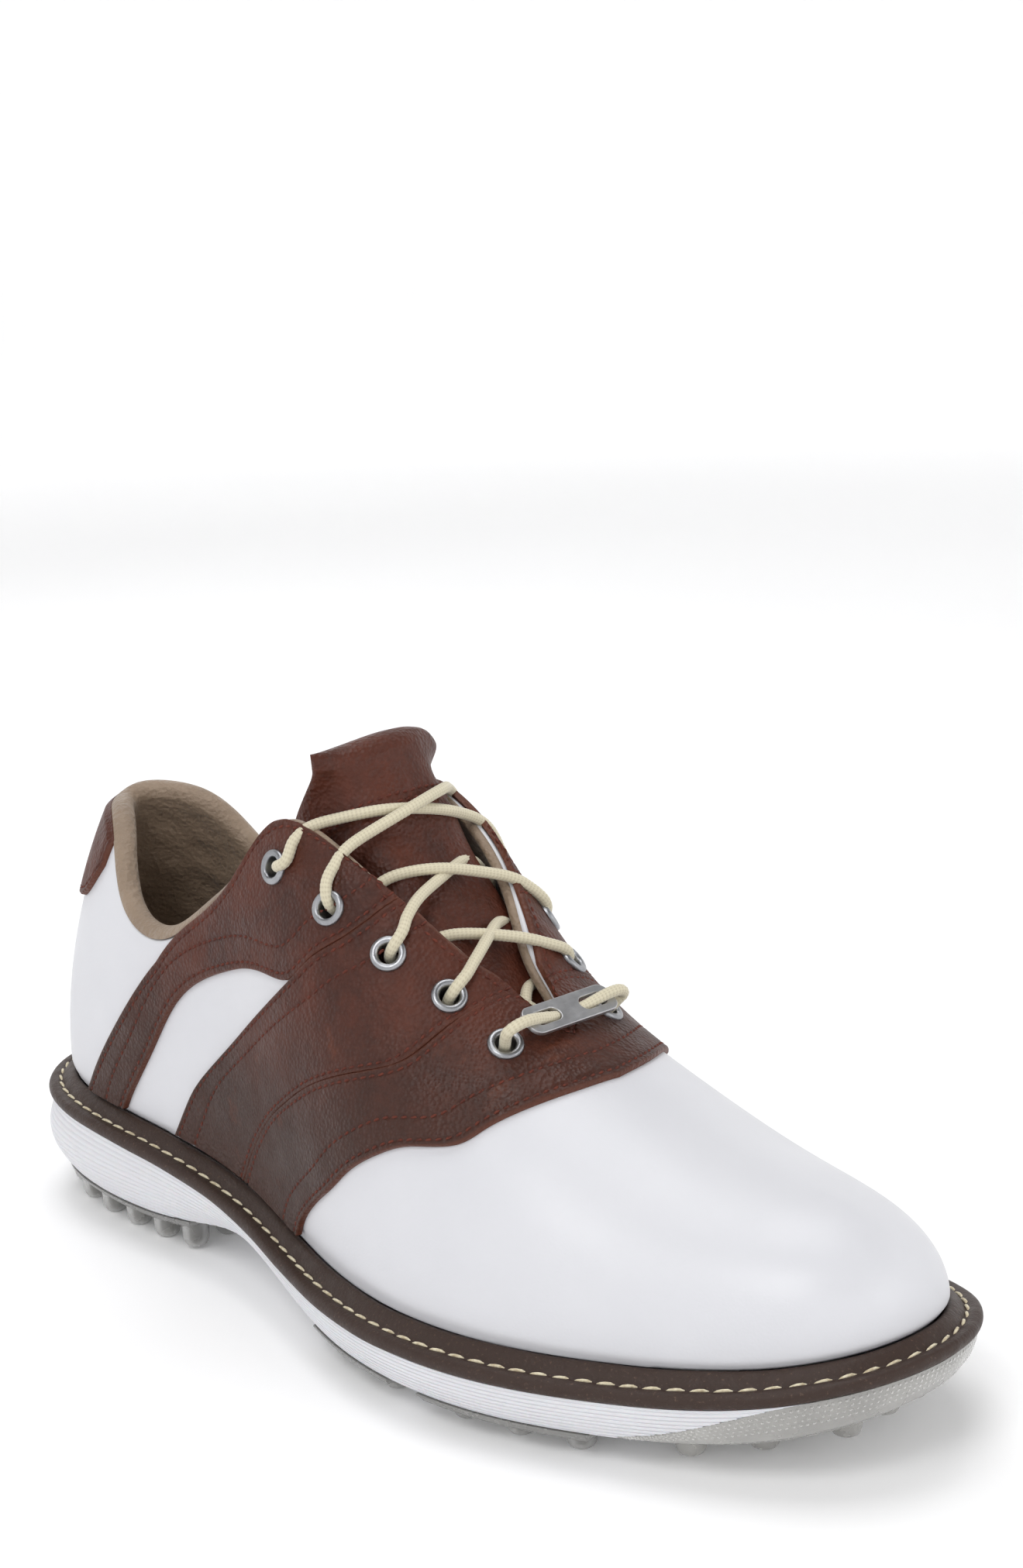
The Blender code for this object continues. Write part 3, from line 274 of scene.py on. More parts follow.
def surface(r, v):
    """The outer face of the vamp and the quarters."""
    foot, outward = outline(round_the_last(r), LASTING_INSET)
    mirrored = outline(round_the_last(2 - r), LASTING_INSET)[0]
    along = ((foot[:, 0] + mirrored[:, 0]) / 2 - LASTING_LOW) / (LASTING_HIGH - LASTING_LOW)
    x = CREST_REAR + along * (CREST_FRONT - CREST_REAR)
    y = crest_y(x)
    base = welt_height(foot[:, 0]) + WELT_RISE
    top = crest(x)
    inner = 0.5 + 0.5 * np.tanh((foot[:, 1] - y) / 12)
    wall = wall_outer(x) * (1 - inner) + wall_inner(x) * inner
    crown = crown_outer(x) * (1 - inner) + crown_inner(x) * inner
    spine = np.stack([x, y], -1)
    shoulder = spine + (foot - spine) * crown[:, None]
    p0 = np.column_stack([foot, base])
    p1 = np.column_stack([foot + outward * bulge(x)[:, None], base + wall * (top - base)])
    p2 = np.column_stack([shoulder, crest(shoulder[:, 0])])
    p3 = np.column_stack([spine, top])
    t = v[:, None]
    return p0 * (1 - t)**3 + 3 * p1 * t * (1 - t)**2 + 3 * p2 * t * t * (1 - t) + p3 * t**3


def upper_point(r, v, lift=0.0):
    """Points of the upper's surface lifted along its outward normal, and the normals."""
    r, v, lift = np.broadcast_arrays(np.asarray(r, float), np.asarray(v, float), np.asarray(lift, float))
    shape = r.shape
    r, v, lift = r.ravel(), v.ravel(), lift.ravel()
    at = np.minimum(v, 0.96)
    across = surface(r + 0.004, at) - surface(r - 0.004, at)
    up = surface(r, at + 0.01) - surface(r, at - 0.01)
    normal = unit(np.cross(across, up))
    p = surface(r, v)
    slope = crest(p[:, 0] + 0.5) - crest(p[:, 0] - 0.5)
    level = unit(np.column_stack([-slope, np.zeros_like(slope), np.ones_like(slope)]))
    near = smooth((v - 0.88) / 0.12)[:, None]
    normal = unit(normal * (1 - near) + level * near)
    return (p + normal * lift[:, None]).reshape(shape + (3,)), normal.reshape(shape + (3,))


def from_heel(r):
    """How far round from the heel: 0 there, 1 at the toe, the same on both sides."""
    r = np.asarray(r, float) % 2
    return np.minimum(r, 2 - r)


def top_of(r):
    """v where the upper ends, at the collar or at the throat's edge."""
    r = np.asarray(r, float)
    rho = from_heel(r)
    inner = smooth((r % 2 - 1.0) * 1e3)
    v = top_outer(rho) * (1 - inner) + top_inner(rho) * inner
    return np.where(rho >= TOP_OUTER[-1][0], 1.0, np.minimum(v, 1.0))


def padding(r, q):
    """The thickness between leather and lining."""
    rho = from_heel(r)
    collar = 4.3 * smooth((q - 0.45) / 0.25) * smooth((0.385 - rho) / 0.06)
    counter = smooth((0.32 - rho) / 0.06)
    puff = 0.9 * smooth((rho - 0.78) / 0.05)
    return 0.1 + collar + np.maximum(counter, puff) * (1 - smooth((q - 0.45) / 0.25) * (rho < 0.5))


def eyelet_place(row, number):
    """An eyelet's centre on the upper's surface, and its axis."""
    r, v = (EYELETS_OUTER if row == "lateral" else EYELETS_INNER)[number - 1]
    point, normal = upper_point(np.array([r]), np.array([v]))
    return point[0], normal[0]


ROWS = ("lateral", "medial")
EYELET_AXES = [eyelet_place(row, number) for row in ROWS for number in range(1, 6)]

# ---------------------------------------------------------------- materials


def node(tree, kind, inputs=None, **settings):
    """A new node whose inputs are given as values or as the sockets that feed them."""
    made = tree.nodes.new(kind)
    for key, value in settings.items():
        setattr(made, key, value)
    for key, value in (inputs or {}).items():
        if isinstance(value, bpy.types.NodeSocket):
            tree.links.new(value, made.inputs[key])
        else:
            made.inputs[key].default_value = value
    return made


class Surface:
    """A Principled material and the nodes that feed it."""

    def __init__(self, name, **values):
        self.material = bpy.data.materials.new(name)
        self.material.use_nodes = True
        self.tree = self.material.node_tree
        self.shader = self.tree.nodes["Principled BSDF"]
        for key, value in values.items():
            self.shader.inputs[key.replace("_", " ")].default_value = value
        self.place = self.add("ShaderNodeTexCoord").outputs["Object"]

    def add(self, kind, inputs=None, **settings):
        return node(self.tree, kind, inputs, **settings)

    def noise(self, scale, detail=3.0, stretch=None, roughness=0.55):
        vector = self.place
        if stretch:
            vector = self.add("ShaderNodeMapping", {"Vector": vector, "Scale": stretch}).outputs[0]
        made = self.add("ShaderNodeTexNoise", {"Vector": vector, "Scale": scale, "Detail": detail,
                                               "Roughness": roughness})
        return made.outputs[0]

    def cells(self, scale, feature="F1"):
        made = self.add("ShaderNodeTexVoronoi", {"Vector": self.place, "Scale": scale}, feature=feature)
        return made.outputs["Distance"]

    def ramp(self, value, stops):
        made = self.add("ShaderNodeValToRGB", {"Fac": value})
        ramp = made.color_ramp
        while len(ramp.elements) < len(stops):
            ramp.elements.new(0.5)
        for element, (position, colour) in zip(ramp.elements, stops):
            element.position = position
            element.color = (*colour, 1) if len(np.shape(colour)) else (colour, colour, colour, 1)
        return made.outputs[0]

    def range(self, value, low, high, to_low=0.0, to_high=1.0):
        made = self.add("ShaderNodeMapRange", {"Value": value, "From Min": low, "From Max": high,
                                               "To Min": to_low, "To Max": to_high})
        return made.outputs[0]

    def mix(self, share, a, b):
        made = self.add("ShaderNodeMix", data_type="RGBA")
        for key, kind, value in (("Factor", "VALUE", share), ("A", "RGBA", a), ("B", "RGBA", b)):
            socket = next(s for s in made.inputs if s.name == key and s.type == kind)
            if isinstance(value, bpy.types.NodeSocket):
                self.tree.links.new(value, socket)
            else:
                socket.default_value = (*value, 1)
        return next(s for s in made.outputs if s.type == "RGBA")

    def sum(self, *terms):
        """The weighted sum of (value, weight) pairs."""
        total = None
        for value, weight in terms:
            part = self.add("ShaderNodeMath", {0: value, 1: weight}, operation="MULTIPLY").outputs[0]
            total = part if total is None else self.add(
                "ShaderNodeMath", {0: total, 1: part}, operation="ADD").outputs[0]
        return total

    def height(self):
        return self.add("ShaderNodeSeparateXYZ", {"Vector": self.place}).outputs["Z"]

    def attribute(self, name):
        return self.add("ShaderNodeAttribute", attribute_name=name).outputs["Fac"]

    def colour(self, socket):
        self.tree.links.new(socket, self.shader.inputs["Base Color"])

    def rough(self, socket):
        self.tree.links.new(socket, self.shader.inputs["Roughness"])

    def bump(self, height, distance, strength=1.0):
        made = self.add("ShaderNodeBump", {"Height": height, "Distance": distance, "Strength": strength})
        self.tree.links.new(made.outputs[0], self.shader.inputs["Normal"])


def white_leather():
    s = Surface("smooth_white_leather", Roughness=0.4, Coat_Weight=0.12, Coat_Roughness=0.25)
    s.colour(s.ramp(s.noise(22, 3), [(0.3, (0.655, 0.658, 0.69)), (0.7, (0.69, 0.692, 0.722))]))
    s.rough(s.range(s.noise(60, 4), 0.3, 0.7, 0.36, 0.46))
    s.bump(s.sum((s.noise(900, 3), 0.5), (s.cells(1500), 0.35), (s.noise(130, 3), 0.5)), 0.00012, 0.35)
    return s.material


def brown_leather(name="pull_up_leather", leg=True):
    s = Surface(name, Roughness=0.5, Specular_IOR_Level=0.28)
    red, deep = (0.092, 0.0235, 0.0118), (0.046, 0.0135, 0.0078)
    cloud = s.sum((s.noise(26, 4), 0.5), (s.noise(90, 5, stretch=(1, 1, 0.5)), 0.3), (s.noise(420, 4), 0.2))
    base = s.ramp(cloud, [(0.40, deep), (0.60, red)])
    if leg:
        low = s.range(s.height(), 0.088, 0.052)
        base = s.mix(s.sum((low, 0.8)), base, (0.040, 0.0195, 0.0138))
    scuff = s.range(s.noise(70, 6, stretch=(1.6, 0.5, 1.0), roughness=0.7), 0.60, 0.74)
    base = s.mix(s.sum((scuff, 0.55)), base, (0.15, 0.043, 0.020))
    s.colour(s.mix(s.attribute("edge"), base, (0.125, 0.042, 0.024)))
    s.rough(s.range(s.noise(90, 4), 0.3, 0.7, 0.36, 0.58))
    grain = s.sum((s.cells(950), 0.8), (s.noise(380, 5), 0.8), (s.noise(75, 4, stretch=(1, 1, 0.6)), 1.1))
    s.bump(grain, 0.00042, 0.75)
    return s.material


def lining_leather():
    s = Surface("tan_lining", Roughness=0.55, Sheen_Weight=0.15, Sheen_Roughness=0.5)
    s.colour(s.ramp(s.noise(45, 4), [(0.3, (0.225, 0.16, 0.108)), (0.7, (0.31, 0.228, 0.16))]))
    creases = s.noise(70, 5, stretch=(1.0, 1.0, 1.6), roughness=0.7)
    s.bump(s.sum((creases, 1.6), (s.cells(700), 0.3), (s.noise(400, 4), 0.5)), 0.0011, 0.8)
    return s.material


def welt_leather():
    s = Surface("welt_leather", Roughness=0.5, Specular_IOR_Level=0.35)
    s.colour(s.mix(s.range(s.noise(1400, 2), 0.62, 0.75), (0.038, 0.0205, 0.0145), (0.095, 0.055, 0.038)))
    s.rough(s.range(s.noise(300, 4), 0.3, 0.7, 0.42, 0.6))
    s.bump(s.sum((s.noise(1100, 4), 1.0), (s.noise(200, 3), 0.5)), 0.0003, 0.6)
    return s.material


def thread(name, light, dark, sheen=0.0):
    s = Surface(name, Roughness=0.65, Sheen_Weight=sheen, Specular_IOR_Level=0.3)
    s.colour(s.ramp(s.noise(900, 2), [(0.35, dark), (0.65, light)]))
    s.bump(s.noise(2600, 2), 0.0002, 0.6)
    return s.material


def midsole_foam():
    s = Surface("white_foam", Roughness=0.5, Subsurface_Weight=0.08, Subsurface_Scale=0.002)
    s.colour(s.ramp(s.noise(30, 2), [(0.3, (0.70, 0.70, 0.73)), (0.7, (0.74, 0.74, 0.77))]))
    s.bump(s.noise(1200, 3), 0.0001, 0.25)
    return s.material


def clear_rubber(name="clear_grey_outsole", light=1.0):
    s = Surface(name, Roughness=0.22, IOR=1.5, Transmission_Weight=0.25, Coat_Weight=0.2)
    tint = np.array([(0.235, 0.23, 0.22), (0.32, 0.315, 0.30)]) * light
    s.colour(s.ramp(s.noise(40, 2), [(0.3, tuple(tint[0])), (0.7, tuple(tint[1]))]))
    s.rough(s.range(s.noise(180, 3), 0.3, 0.7, 0.18, 0.34))
    s.bump(s.noise(700, 2), 0.00015, 0.3)
    return s.material


def metal(name, light, dark, roughness):
    s = Surface(name, Metallic=1.0, Roughness=roughness)
    s.colour(s.ramp(s.noise(220, 4), [(0.3, dark), (0.7, light)]))
    s.rough(s.range(s.noise(900, 3, stretch=(1, 8, 1)), 0.3, 0.7, roughness - 0.08, roughness + 0.1))
    s.bump(s.noise(2200, 2, stretch=(1, 6, 1)), 0.00004, 0.4)
    return s.material


def lace_braid():
    s = Surface("braided_lace", Roughness=0.75, Sheen_Weight=0.35, Sheen_Roughness=0.4)
    # The braid's valleys get a darker colour: painted shade in the recesses between the plaits.
    s.colour(s.mix(s.attribute("valley_shade"), (0.67, 0.615, 0.46), (0.47, 0.41, 0.28)))
    s.bump(s.noise(3800, 2), 0.0001, 0.4)
    return s.material


def plain(name, colour, roughness, scale=400, bump=0.0002):
    """A dull material with a little grain, for what is hidden or small."""
    s = Surface(name, Roughness=roughness)
    s.colour(s.ramp(s.noise(scale, 3), [(0.3, tuple(c * 0.85 for c in colour)), (0.7, colour)]))
    s.bump(s.noise(scale * 3, 3), bump, 0.5)
    return s.material


MATERIALS = {
    "white_leather": white_leather(),
    "brown_leather": brown_leather(),
    "welt_leather": welt_leather(),
    "lining": lining_leather(),
    "foam": plain("pale_foam", (0.55, 0.52, 0.45), 0.9),
    "board": plain("fibre_board", (0.34, 0.25, 0.16), 0.85),
    "midsole": midsole_foam(),
    "outsole": clear_rubber(),
    "shank_steel": metal("shank_steel", (0.5, 0.5, 0.5), (0.4, 0.4, 0.4), 0.4),
    "eyelet_metal": metal("eyelet_gunmetal", (0.4, 0.405, 0.42), (0.27, 0.275, 0.29), 0.34),
    "tag_metal": metal("tag_steel", (0.56, 0.56, 0.57), (0.4, 0.4, 0.41), 0.4),
    "cord": lace_braid(),
    "aglet_plastic": plain("aglet", (0.7, 0.65, 0.52), 0.3),
    "stitching": thread("welt_thread", (0.80, 0.73, 0.54), (0.55, 0.46, 0.30), 0.2),
}
TOE_RUBBER = clear_rubber("clear_pale_outsole", 1.75)
RUST_THREAD = thread("rust_thread", (0.135, 0.029, 0.015), (0.07, 0.016, 0.009))
TONGUE_LEATHER = brown_leather("tongue_leather", leg=False)

# ---------------------------------------------------------------- meshes


def grid_faces(rows, columns, closed_rows=False, closed_columns=False):
    """The quads of a grid of points, its first index running slowest."""
    i = np.arange(rows if closed_rows else rows - 1)[:, None]
    j = np.arange(columns if closed_columns else columns - 1)[None]
    k, m = (i + 1) % rows, (j + 1) % columns
    return np.stack([i * columns + j, k * columns + j, k * columns + m, i * columns + m], -1).reshape(-1, 4)


def shell_faces(rows, columns):
    """The quads of a closed sheet: outer grid, inner grid, and the four edges between them."""
    size = rows * columns
    face = grid_faces(rows, columns)
    rim = [(i, 0) for i in range(rows)] + [(rows - 1, j) for j in range(1, columns)]
    rim += [(i, columns - 1) for i in range(rows - 2, -1, -1)] + [(0, j) for j in range(columns - 2, 0, -1)]
    a = np.array([i * columns + j for i, j in rim])
    b = np.roll(a, -1)
    return np.concatenate([face, size + face[:, ::-1], np.stack([b, a, size + a, size + b], -1)])


class Pile:
    """Several meshes put together as one, each given as its points and its faces."""

    def __init__(self):
        self.points, self.faces, self.count = [], [], 0

    def add(self, points, faces):
        points = points.reshape(-1, 3)
        self.points.append(points)
        self.faces.append(faces + self.count)
        self.count += len(points)

    def mesh(self):
        return np.concatenate(self.points), np.concatenate(self.faces)


def sheet(face, back):
    """The points and the quads of a closed sheet between two grids."""
    return np.concatenate([face.reshape(-1, 3), back.reshape(-1, 3)]), shell_faces(*face.shape[:2])


def welded(points, faces, values):
    """Points that meet made one, and the walls that then lie inside taken out."""
    _, first, index = np.unique(np.round(points, 3), axis=0, return_index=True, return_inverse=True)
    faces = index.reshape(-1)[faces]
    keys = np.sort(faces, axis=1)
    _, back, count = np.unique(keys, axis=0, return_inverse=True, return_counts=True)
    whole = (count[back.reshape(-1)] == 1) & (np.diff(keys, axis=1) > 0).all(axis=1)
    return points[first], faces[whole], {key: value[first] for key, value in values.items()}


def add_object(name, data, material, body, replaced=(), place=None):
    """A piece of the shoe that rides a body and stands in for the CAD nodes in `replaced`."""
    made = bpy.data.objects.new(name, data)
    bpy.context.scene.collection.objects.link(made)
    if place is not None:
        made.matrix_world = place
    data.materials.append(material)
    if body:
        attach(made, body)
    if replaced:
        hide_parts(*replaced)
    return made


def add_mesh(name, points, faces, slot, body="shoe", material=None, replaced=(), values=None, sharp=40,
             weld=False):
    """An object from points in millimetres and quads, with named values on its points."""
    points = np.asarray(points, float).reshape(-1, 3)
    values = {key: np.asarray(value, float).ravel() for key, value in (values or {}).items()}
    faces = np.asarray(faces)
    if weld:
        points, faces, values = welded(points, faces, values)
    corners = points[faces]
    volume = np.einsum("ij,ij->", np.cross(corners[:, 0], corners[:, 1]), corners[:, 2])
    volume += np.einsum("ij,ij->", np.cross(corners[:, 0], corners[:, 2]), corners[:, 3])
    if volume < 0:
        faces = faces[:, ::-1]
    mesh = bpy.data.meshes.new(name)
    mesh.from_pydata(((points + CENTRING) * MM).tolist(), [], faces.tolist())
    for key, value in values.items():
        mesh.attributes.new(key, "FLOAT", "POINT").data.foreach_set("value", value.astype(np.float32))
    mesh.shade_smooth()
    mesh.set_sharp_from_angle(angle=math.radians(sharp))
    return add_object(name, mesh, material or MATERIALS[slot], body, replaced)


def clear_of_eyelets(points, faces, radius=3.1):
    """The faces left when the eyelets' holes are made."""
    centres = points[faces].mean(axis=1)
    keep = np.ones(len(faces), bool)
    for centre, axis in EYELET_AXES:
        offset = centres - centre
        along = offset @ axis
        away = np.linalg.norm(offset - along[:, None] * axis, axis=1)
        keep &= (away > radius) | (np.abs(along) > 8)
    return faces[keep]


def band_grid(edges, steps, across, mirrored=False, spread=None):
    """The grid of (r, v) between a band's two edges, from the welt up."""
    grids = []
    for points in edges:
        p = np.array(points, float)
        knots = np.linspace(0, 1, len(p))
        t = np.linspace(0, 1, steps)
        grids.append(np.stack([curve(list(zip(knots, p[:, k])))(t) for k in (0, 1)], -1))
    share = np.linspace(0, 1, across)[None, :, None]
    grid = grids[0][:, None] * (1 - share) + grids[1][:, None] * share
    r, v = grid[..., 0], grid[..., 1]
    share = v / top_of(r)
    reach = np.where(share > 0.88, np.minimum(0.88 + (share - 0.88) * 1.5, 1.008), share)
    v = np.minimum((share + (reach - share) * smooth((0.64 - from_heel(r)) / 0.03)) * top_of(r), 1)
    if mirrored:
        v = v * np.minimum(1, top_of(2 - r) / top_of(r))
        r = 2 - r
    return r, v


# ---------------------------------------------------------------- stitches

STITCHES = {"rust": Pile(), "cream": Pile()}


def stitch_shape(length, width, height, dip):
    """A short bowed thread lying along x: points of a small tube."""
    rings, sides = 5, 6
    u = np.linspace(-1, 1, rings)
    swell = np.sqrt(np.maximum(0, 1 - np.abs(u)**3)) * 0.85 + 0.15
    angle = np.arange(sides) / sides * 2 * np.pi
    y = np.outer(swell, np.cos(angle)) * width / 2
    z = np.outer(swell, np.sin(angle)) * height - dip * u[:, None]**2
    points = np.stack([np.broadcast_to(u[:, None] * length / 2, y.shape), y, z], -1).reshape(-1, 3)
    caps = np.array([[0, 1, 2, 3], [0, 3, 4, 5]])
    last = (rings - 1) * sides
    return points, np.concatenate([grid_faces(rings, sides, closed_columns=True), caps[:, ::-1], last + caps])


def stitch_row(path, normals, pitch, length, width, height, dip, kind, twist=0.0):
    """Lays stitches along a path on a surface."""
    run = lengths(path)
    count = int(run[-1] / pitch)
    if count < 1:
        return
    at = (np.arange(count) + 0.5) * run[-1] / count
    centre, out = between(at, run, path), unit(between(at, run, normals))
    along = unit(between(at + pitch * 0.4, run, path) - between(at - pitch * 0.4, run, path))
    side = unit(np.cross(out, along))
    along = along + side * twist
    shape, faces = stitch_shape(length, width, height, dip)
    placed = (centre[:, None] + shape[None, :, :1] * along[:, None] + shape[None, :, 1:2] * side[:, None]
              + shape[None, :, 2:] * out[:, None])
    STITCHES[kind].add(placed, (faces[None] + len(shape) * np.arange(count)[:, None, None]).reshape(-1, 4))


def leather_row(path, normals):
    """A row of the rust thread that sews the brown leather."""
    stitch_row(path, normals, 2.45, 1.95, 0.78, 0.36, 0.2, "rust", 0.16)


def add_stitches(kind, slot, material, name, body="shoe", replaced=()):
    """One piece from all the stitches of a kind laid since the last call."""
    pile, STITCHES[kind] = STITCHES[kind], Pile()
    return add_mesh(name, *pile.mesh(), slot, body, material, replaced, sharp=70)


# ---------------------------------------------------------------- the upper

EDGE_ROUND = 0.55
OVERLAY_BACK = 0.03


def pressed(distance, rows):
    """The height lost near a cut edge and along rows of stitches."""
    near = 1 - np.clip(distance / EDGE_ROUND, 0, 1)
    loss = 0.5 * (1 - np.sqrt(np.maximum(0, 1 - near**2)))
    for row, width in rows:
        loss = loss + 0.3 * np.exp(-(row / width)**2)
    return loss


def raw_edge(distance):
    """How raw the leather is near a cut edge, on a sheet's face and then on its back."""
    return np.concatenate([np.exp(-(distance / 0.35)**2).ravel() * 0.8, np.ones(distance.size)])


def make_band(name, edges, mirrored, rear_rows, front_rows, top_rows, steps=150, across=72, both=False):
    """A leather overlay with rounded cut edges, and its rows of stitches at distances from its edges."""
    r, v = band_grid(edges, steps, across, mirrored)
    if both:
        r2, v2 = band_grid(edges, steps, across, True)
        r, v = np.concatenate([r, r2[-2::-1]]), np.concatenate([v, v2[-2::-1]])
    base, normal = upper_point(r, v)
    from_rear = lengths(base, 1)
    from_front = from_rear[:, -1:] - from_rear
    from_high = lengths(base, 0)[-1:] - lengths(base, 0)
    edge = np.minimum(from_rear, from_front)
    if not both:
        edge = np.minimum(edge, from_high)
    rows = [(from_rear - d, 0.5) for d in rear_rows] + [(from_front - d, 0.5) for d in front_rows]
    rows += [(from_high - d, 0.5) for d in top_rows]
    top = OVERLAY_TOP - pressed(edge, rows)
    outer = base + normal * top[..., None]
    points, faces = sheet(outer, base + normal * OVERLAY_BACK)
    add_mesh(name, points, clear_of_eyelets(points, faces), "brown_leather", replaced=[name],
             values={"edge": raw_edge(edge)}, sharp=75, weld=both)

    def row_at(distance, measure, turned=False, low=0.0, high=1.0):
        """Stitches on the overlay where a measure across it has a value."""
        grids = [a.swapaxes(0, 1) if turned else a for a in (measure, outer, normal)]
        path, out = [], []
        last = len(grids[0]) - 1
        for k in range(int(low * last), int(high * last) + 1):
            line, places, directions = (a[k] for a in grids)
            if line.max() < distance + 0.8 or line.min() > distance:
                continue
            order = np.argsort(line)
            path.append(between(distance, line[order], places[order]))
            out.append(between(distance, line[order], directions[order]))
        if len(path) > 3:
            leather_row(np.array(path), np.array(out))

    for d in rear_rows:
        row_at(d, from_rear)
    for d in front_rows:
        row_at(d, from_front)
    for d in top_rows:
        row_at(d, from_high, True, 0.08, 0.92)


def moved(points, step, above=0.34):
    """A band's edge moved round the last where it meets the next band."""
    return [(r + step * (v > above), v) for r, v in points]


def make_overlays():
    """The saddle's five parts, whose edges meet or overlap slightly."""
    rear = (REAR_BAND[0], moved(REAR_BAND[1], 0.003))
    middle = (moved(MIDDLE_BAND[0], -0.0012), moved(MIDDLE_BAND[1], 0.0022, 0))
    front = (moved(FRONT_BAND[0], -0.0022, 0), FRONT_BAND[1])
    for side in ROWS:
        mirrored = side == "medial"
        make_band(f"saddle_rear_{side}", rear, mirrored, (2.0,), (1.8, 8.5), (2.6,), across=84)
        make_band(f"saddle_middle_{side}", middle, mirrored, (1.8, 8.5), (1.8,), (2.6,), across=84)
    make_band("saddle_front", front, False, (1.8,), (1.8, 8.5), (), steps=150, across=84, both=True)


def make_heel_tab():
    """The brown patch at the top of the heel."""
    r = np.linspace(2 - 0.118, 2 + 0.118, 121)
    low, high = heel_tab_low(from_heel(r)), top_of(r) + 0.004
    v = low[:, None] + (high - low)[:, None] * np.linspace(0, 1, 61)
    r = np.broadcast_to(r[:, None], v.shape)
    base, normal = upper_point(r, v)
    from_low = lengths(base, 1)
    from_side = np.minimum(lengths(base, 0), lengths(base, 0)[-1:] - lengths(base, 0))
    edge = np.minimum(from_low, from_side)
    top = OVERLAY_TOP - pressed(edge, [(from_low - 2, 0.5), (from_side - 2, 0.5)])
    top = top - 1.0 * smooth((v - (high[:, None] - 0.02)) / 0.02)
    outer = base + normal * top[..., None]
    add_mesh("heel_tab", *sheet(outer, base + normal * OVERLAY_BACK), "brown_leather", replaced=["heel_tab"],
             values={"edge": raw_edge(edge)}, sharp=75, material=TONGUE_LEATHER)
    i = np.arange(len(v))[5:-5]
    j = np.abs(from_low[i] - 2.0).argmin(axis=1)
    leather_row(outer[i, j], normal[i, j])


seam_r, seam_v = (np.array(FRONT_BAND[0])[:9] * 0.5 + np.array(FRONT_BAND[1])[:9] * 0.5).T
vamp_seam = curve([(0, seam_r[0]), *zip(seam_v[1:] / top_of(seam_r[1:]), seam_r[1:])])


def make_white_leather():
    """Vamp and quarters: one smooth skin, cut apart where the overlays hide the seams."""
    for name, low, high, replaced in (
        ("vamp", 1, -1, ["vamp", "toe_puff"]),
        ("quarter_lateral", 0.0004, 1, ["quarter_lateral"]),
        ("quarter_medial", -1, -0.0004, ["quarter_medial"]),
    ):
        share, q = np.meshgrid(np.linspace(0, 1, 320), np.linspace(0, 1, 90), indexing="ij")
        seam = vamp_seam(q)
        ends = [seam if k == 1 else 2 - seam if k == -1 else k % 2 + 0 * q for k in (low, high)]
        r = ends[0] + (ends[1] - ends[0]) * share
        v = q * top_of(r)
        base, normal = upper_point(r, v)
        down = lengths(base, 1)[:, -1:] - lengths(base, 1)
        open_edge = (from_heel(r) < 0.64) * 1.0
        drop = 0.45 * (1 - np.sqrt(np.maximum(0, 1 - (1 - np.clip(down / 0.9, 0, 1))**2))) * open_edge
        tuck = 1.1 * np.exp(-((q * 60) / 1.6)**2)
        points, faces = sheet(base - normal * (drop + tuck)[..., None], base - normal * LEATHER)
        add_mesh(name, points, clear_of_eyelets(points, faces), "white_leather", replaced=replaced, sharp=75,
                 weld=name == "vamp")


def make_collar_lining():
    """The lining: it rolls over the collar's padding and goes down inside to the insole."""
    r = np.linspace(2 - 0.638, 2 + 0.638, 420)
    turn = np.linspace(0, np.pi, 22)
    q = 1 - np.linspace(0, 0.985, 70)[1:]
    rho = from_heel(r)
    top = top_of(r)
    seam, up = upper_point(r, top)
    rise = unit(surface(r, np.minimum(top + 0.01, 1)) - surface(r, top - 0.01))
    start = -(0.35 + 1.35 * smooth((rho - 0.352) / 0.03))
    depth = LEATHER + 2 * GAP + padding(r, np.ones_like(r)) * 0.62 + LINING
    middle, half = (-start + depth) / 2, (depth + start) / 2
    bulge_up = 2.6 * smooth((0.40 - rho) / 0.06) + 0.35
    roll = (seam[:, None] - up[:, None] * (middle[:, None] - half[:, None] * np.cos(turn))[..., None]
            + rise[:, None] * (bulge_up[:, None] * np.sin(turn))[..., None])
    rr, qq = np.meshgrid(r, q, indexing="ij")
    thick = padding(rr, qq) * (1 - 0.38 * smooth((qq - 0.5) / 0.4))
    inside = upper_point(rr, qq * top[:, None], -(LEATHER + 2 * GAP + thick + LINING))[0]
    base = np.concatenate([roll, inside], 1)
    # Soft creases where the heel and ankle press.
    crease = np.sin(base[..., 0] * 0.23 + 2.1 * np.sin(base[..., 2] * 0.09 + base[..., 1] * 0.05)
                    + base[..., 2] * 0.16)
    fade = smooth(np.linspace(0, 1, base.shape[1]) * 3.2 - 0.25)[None] * smooth((0.5 - rho) / 0.1)[:, None]
    across, along = np.gradient(base, axis=0), np.gradient(base, axis=1)
    inward = unit(np.cross(along, across))
    fine = np.sin(base[..., 2] * 0.55 + 3 * np.sin(base[..., 0] * 0.11))
    fine = fine * np.sin(base[..., 0] * 0.19 + base[..., 1] * 0.23)
    base = base + inward * ((crease * 0.42 + fine * 0.22) * fade)[..., None]
    points, faces = sheet(base, base - inward * 0.7)
    lining = add_mesh("collar_lining", points, clear_of_eyelets(points, faces), "lining", sharp=75,
                      replaced=["quarter_lining", "collar_foam", "heel_counter"])


def make_vamp_lining():
    """The lining under the vamp."""
    r, q = np.meshgrid(np.linspace(0.639, 1.361, 120), np.linspace(0.02, 1, 40), indexing="ij")
    v = q * top_of(r)
    depth = LEATHER + 2 * GAP + padding(r, q)
    add_mesh("vamp_lining", *sheet(upper_point(r, v, -depth)[0], upper_point(r, v, -depth - LINING)[0]),
             "lining", replaced=["vamp_lining"], sharp=75, weld=True)


# ---------------------------------------------------------------- the tongue

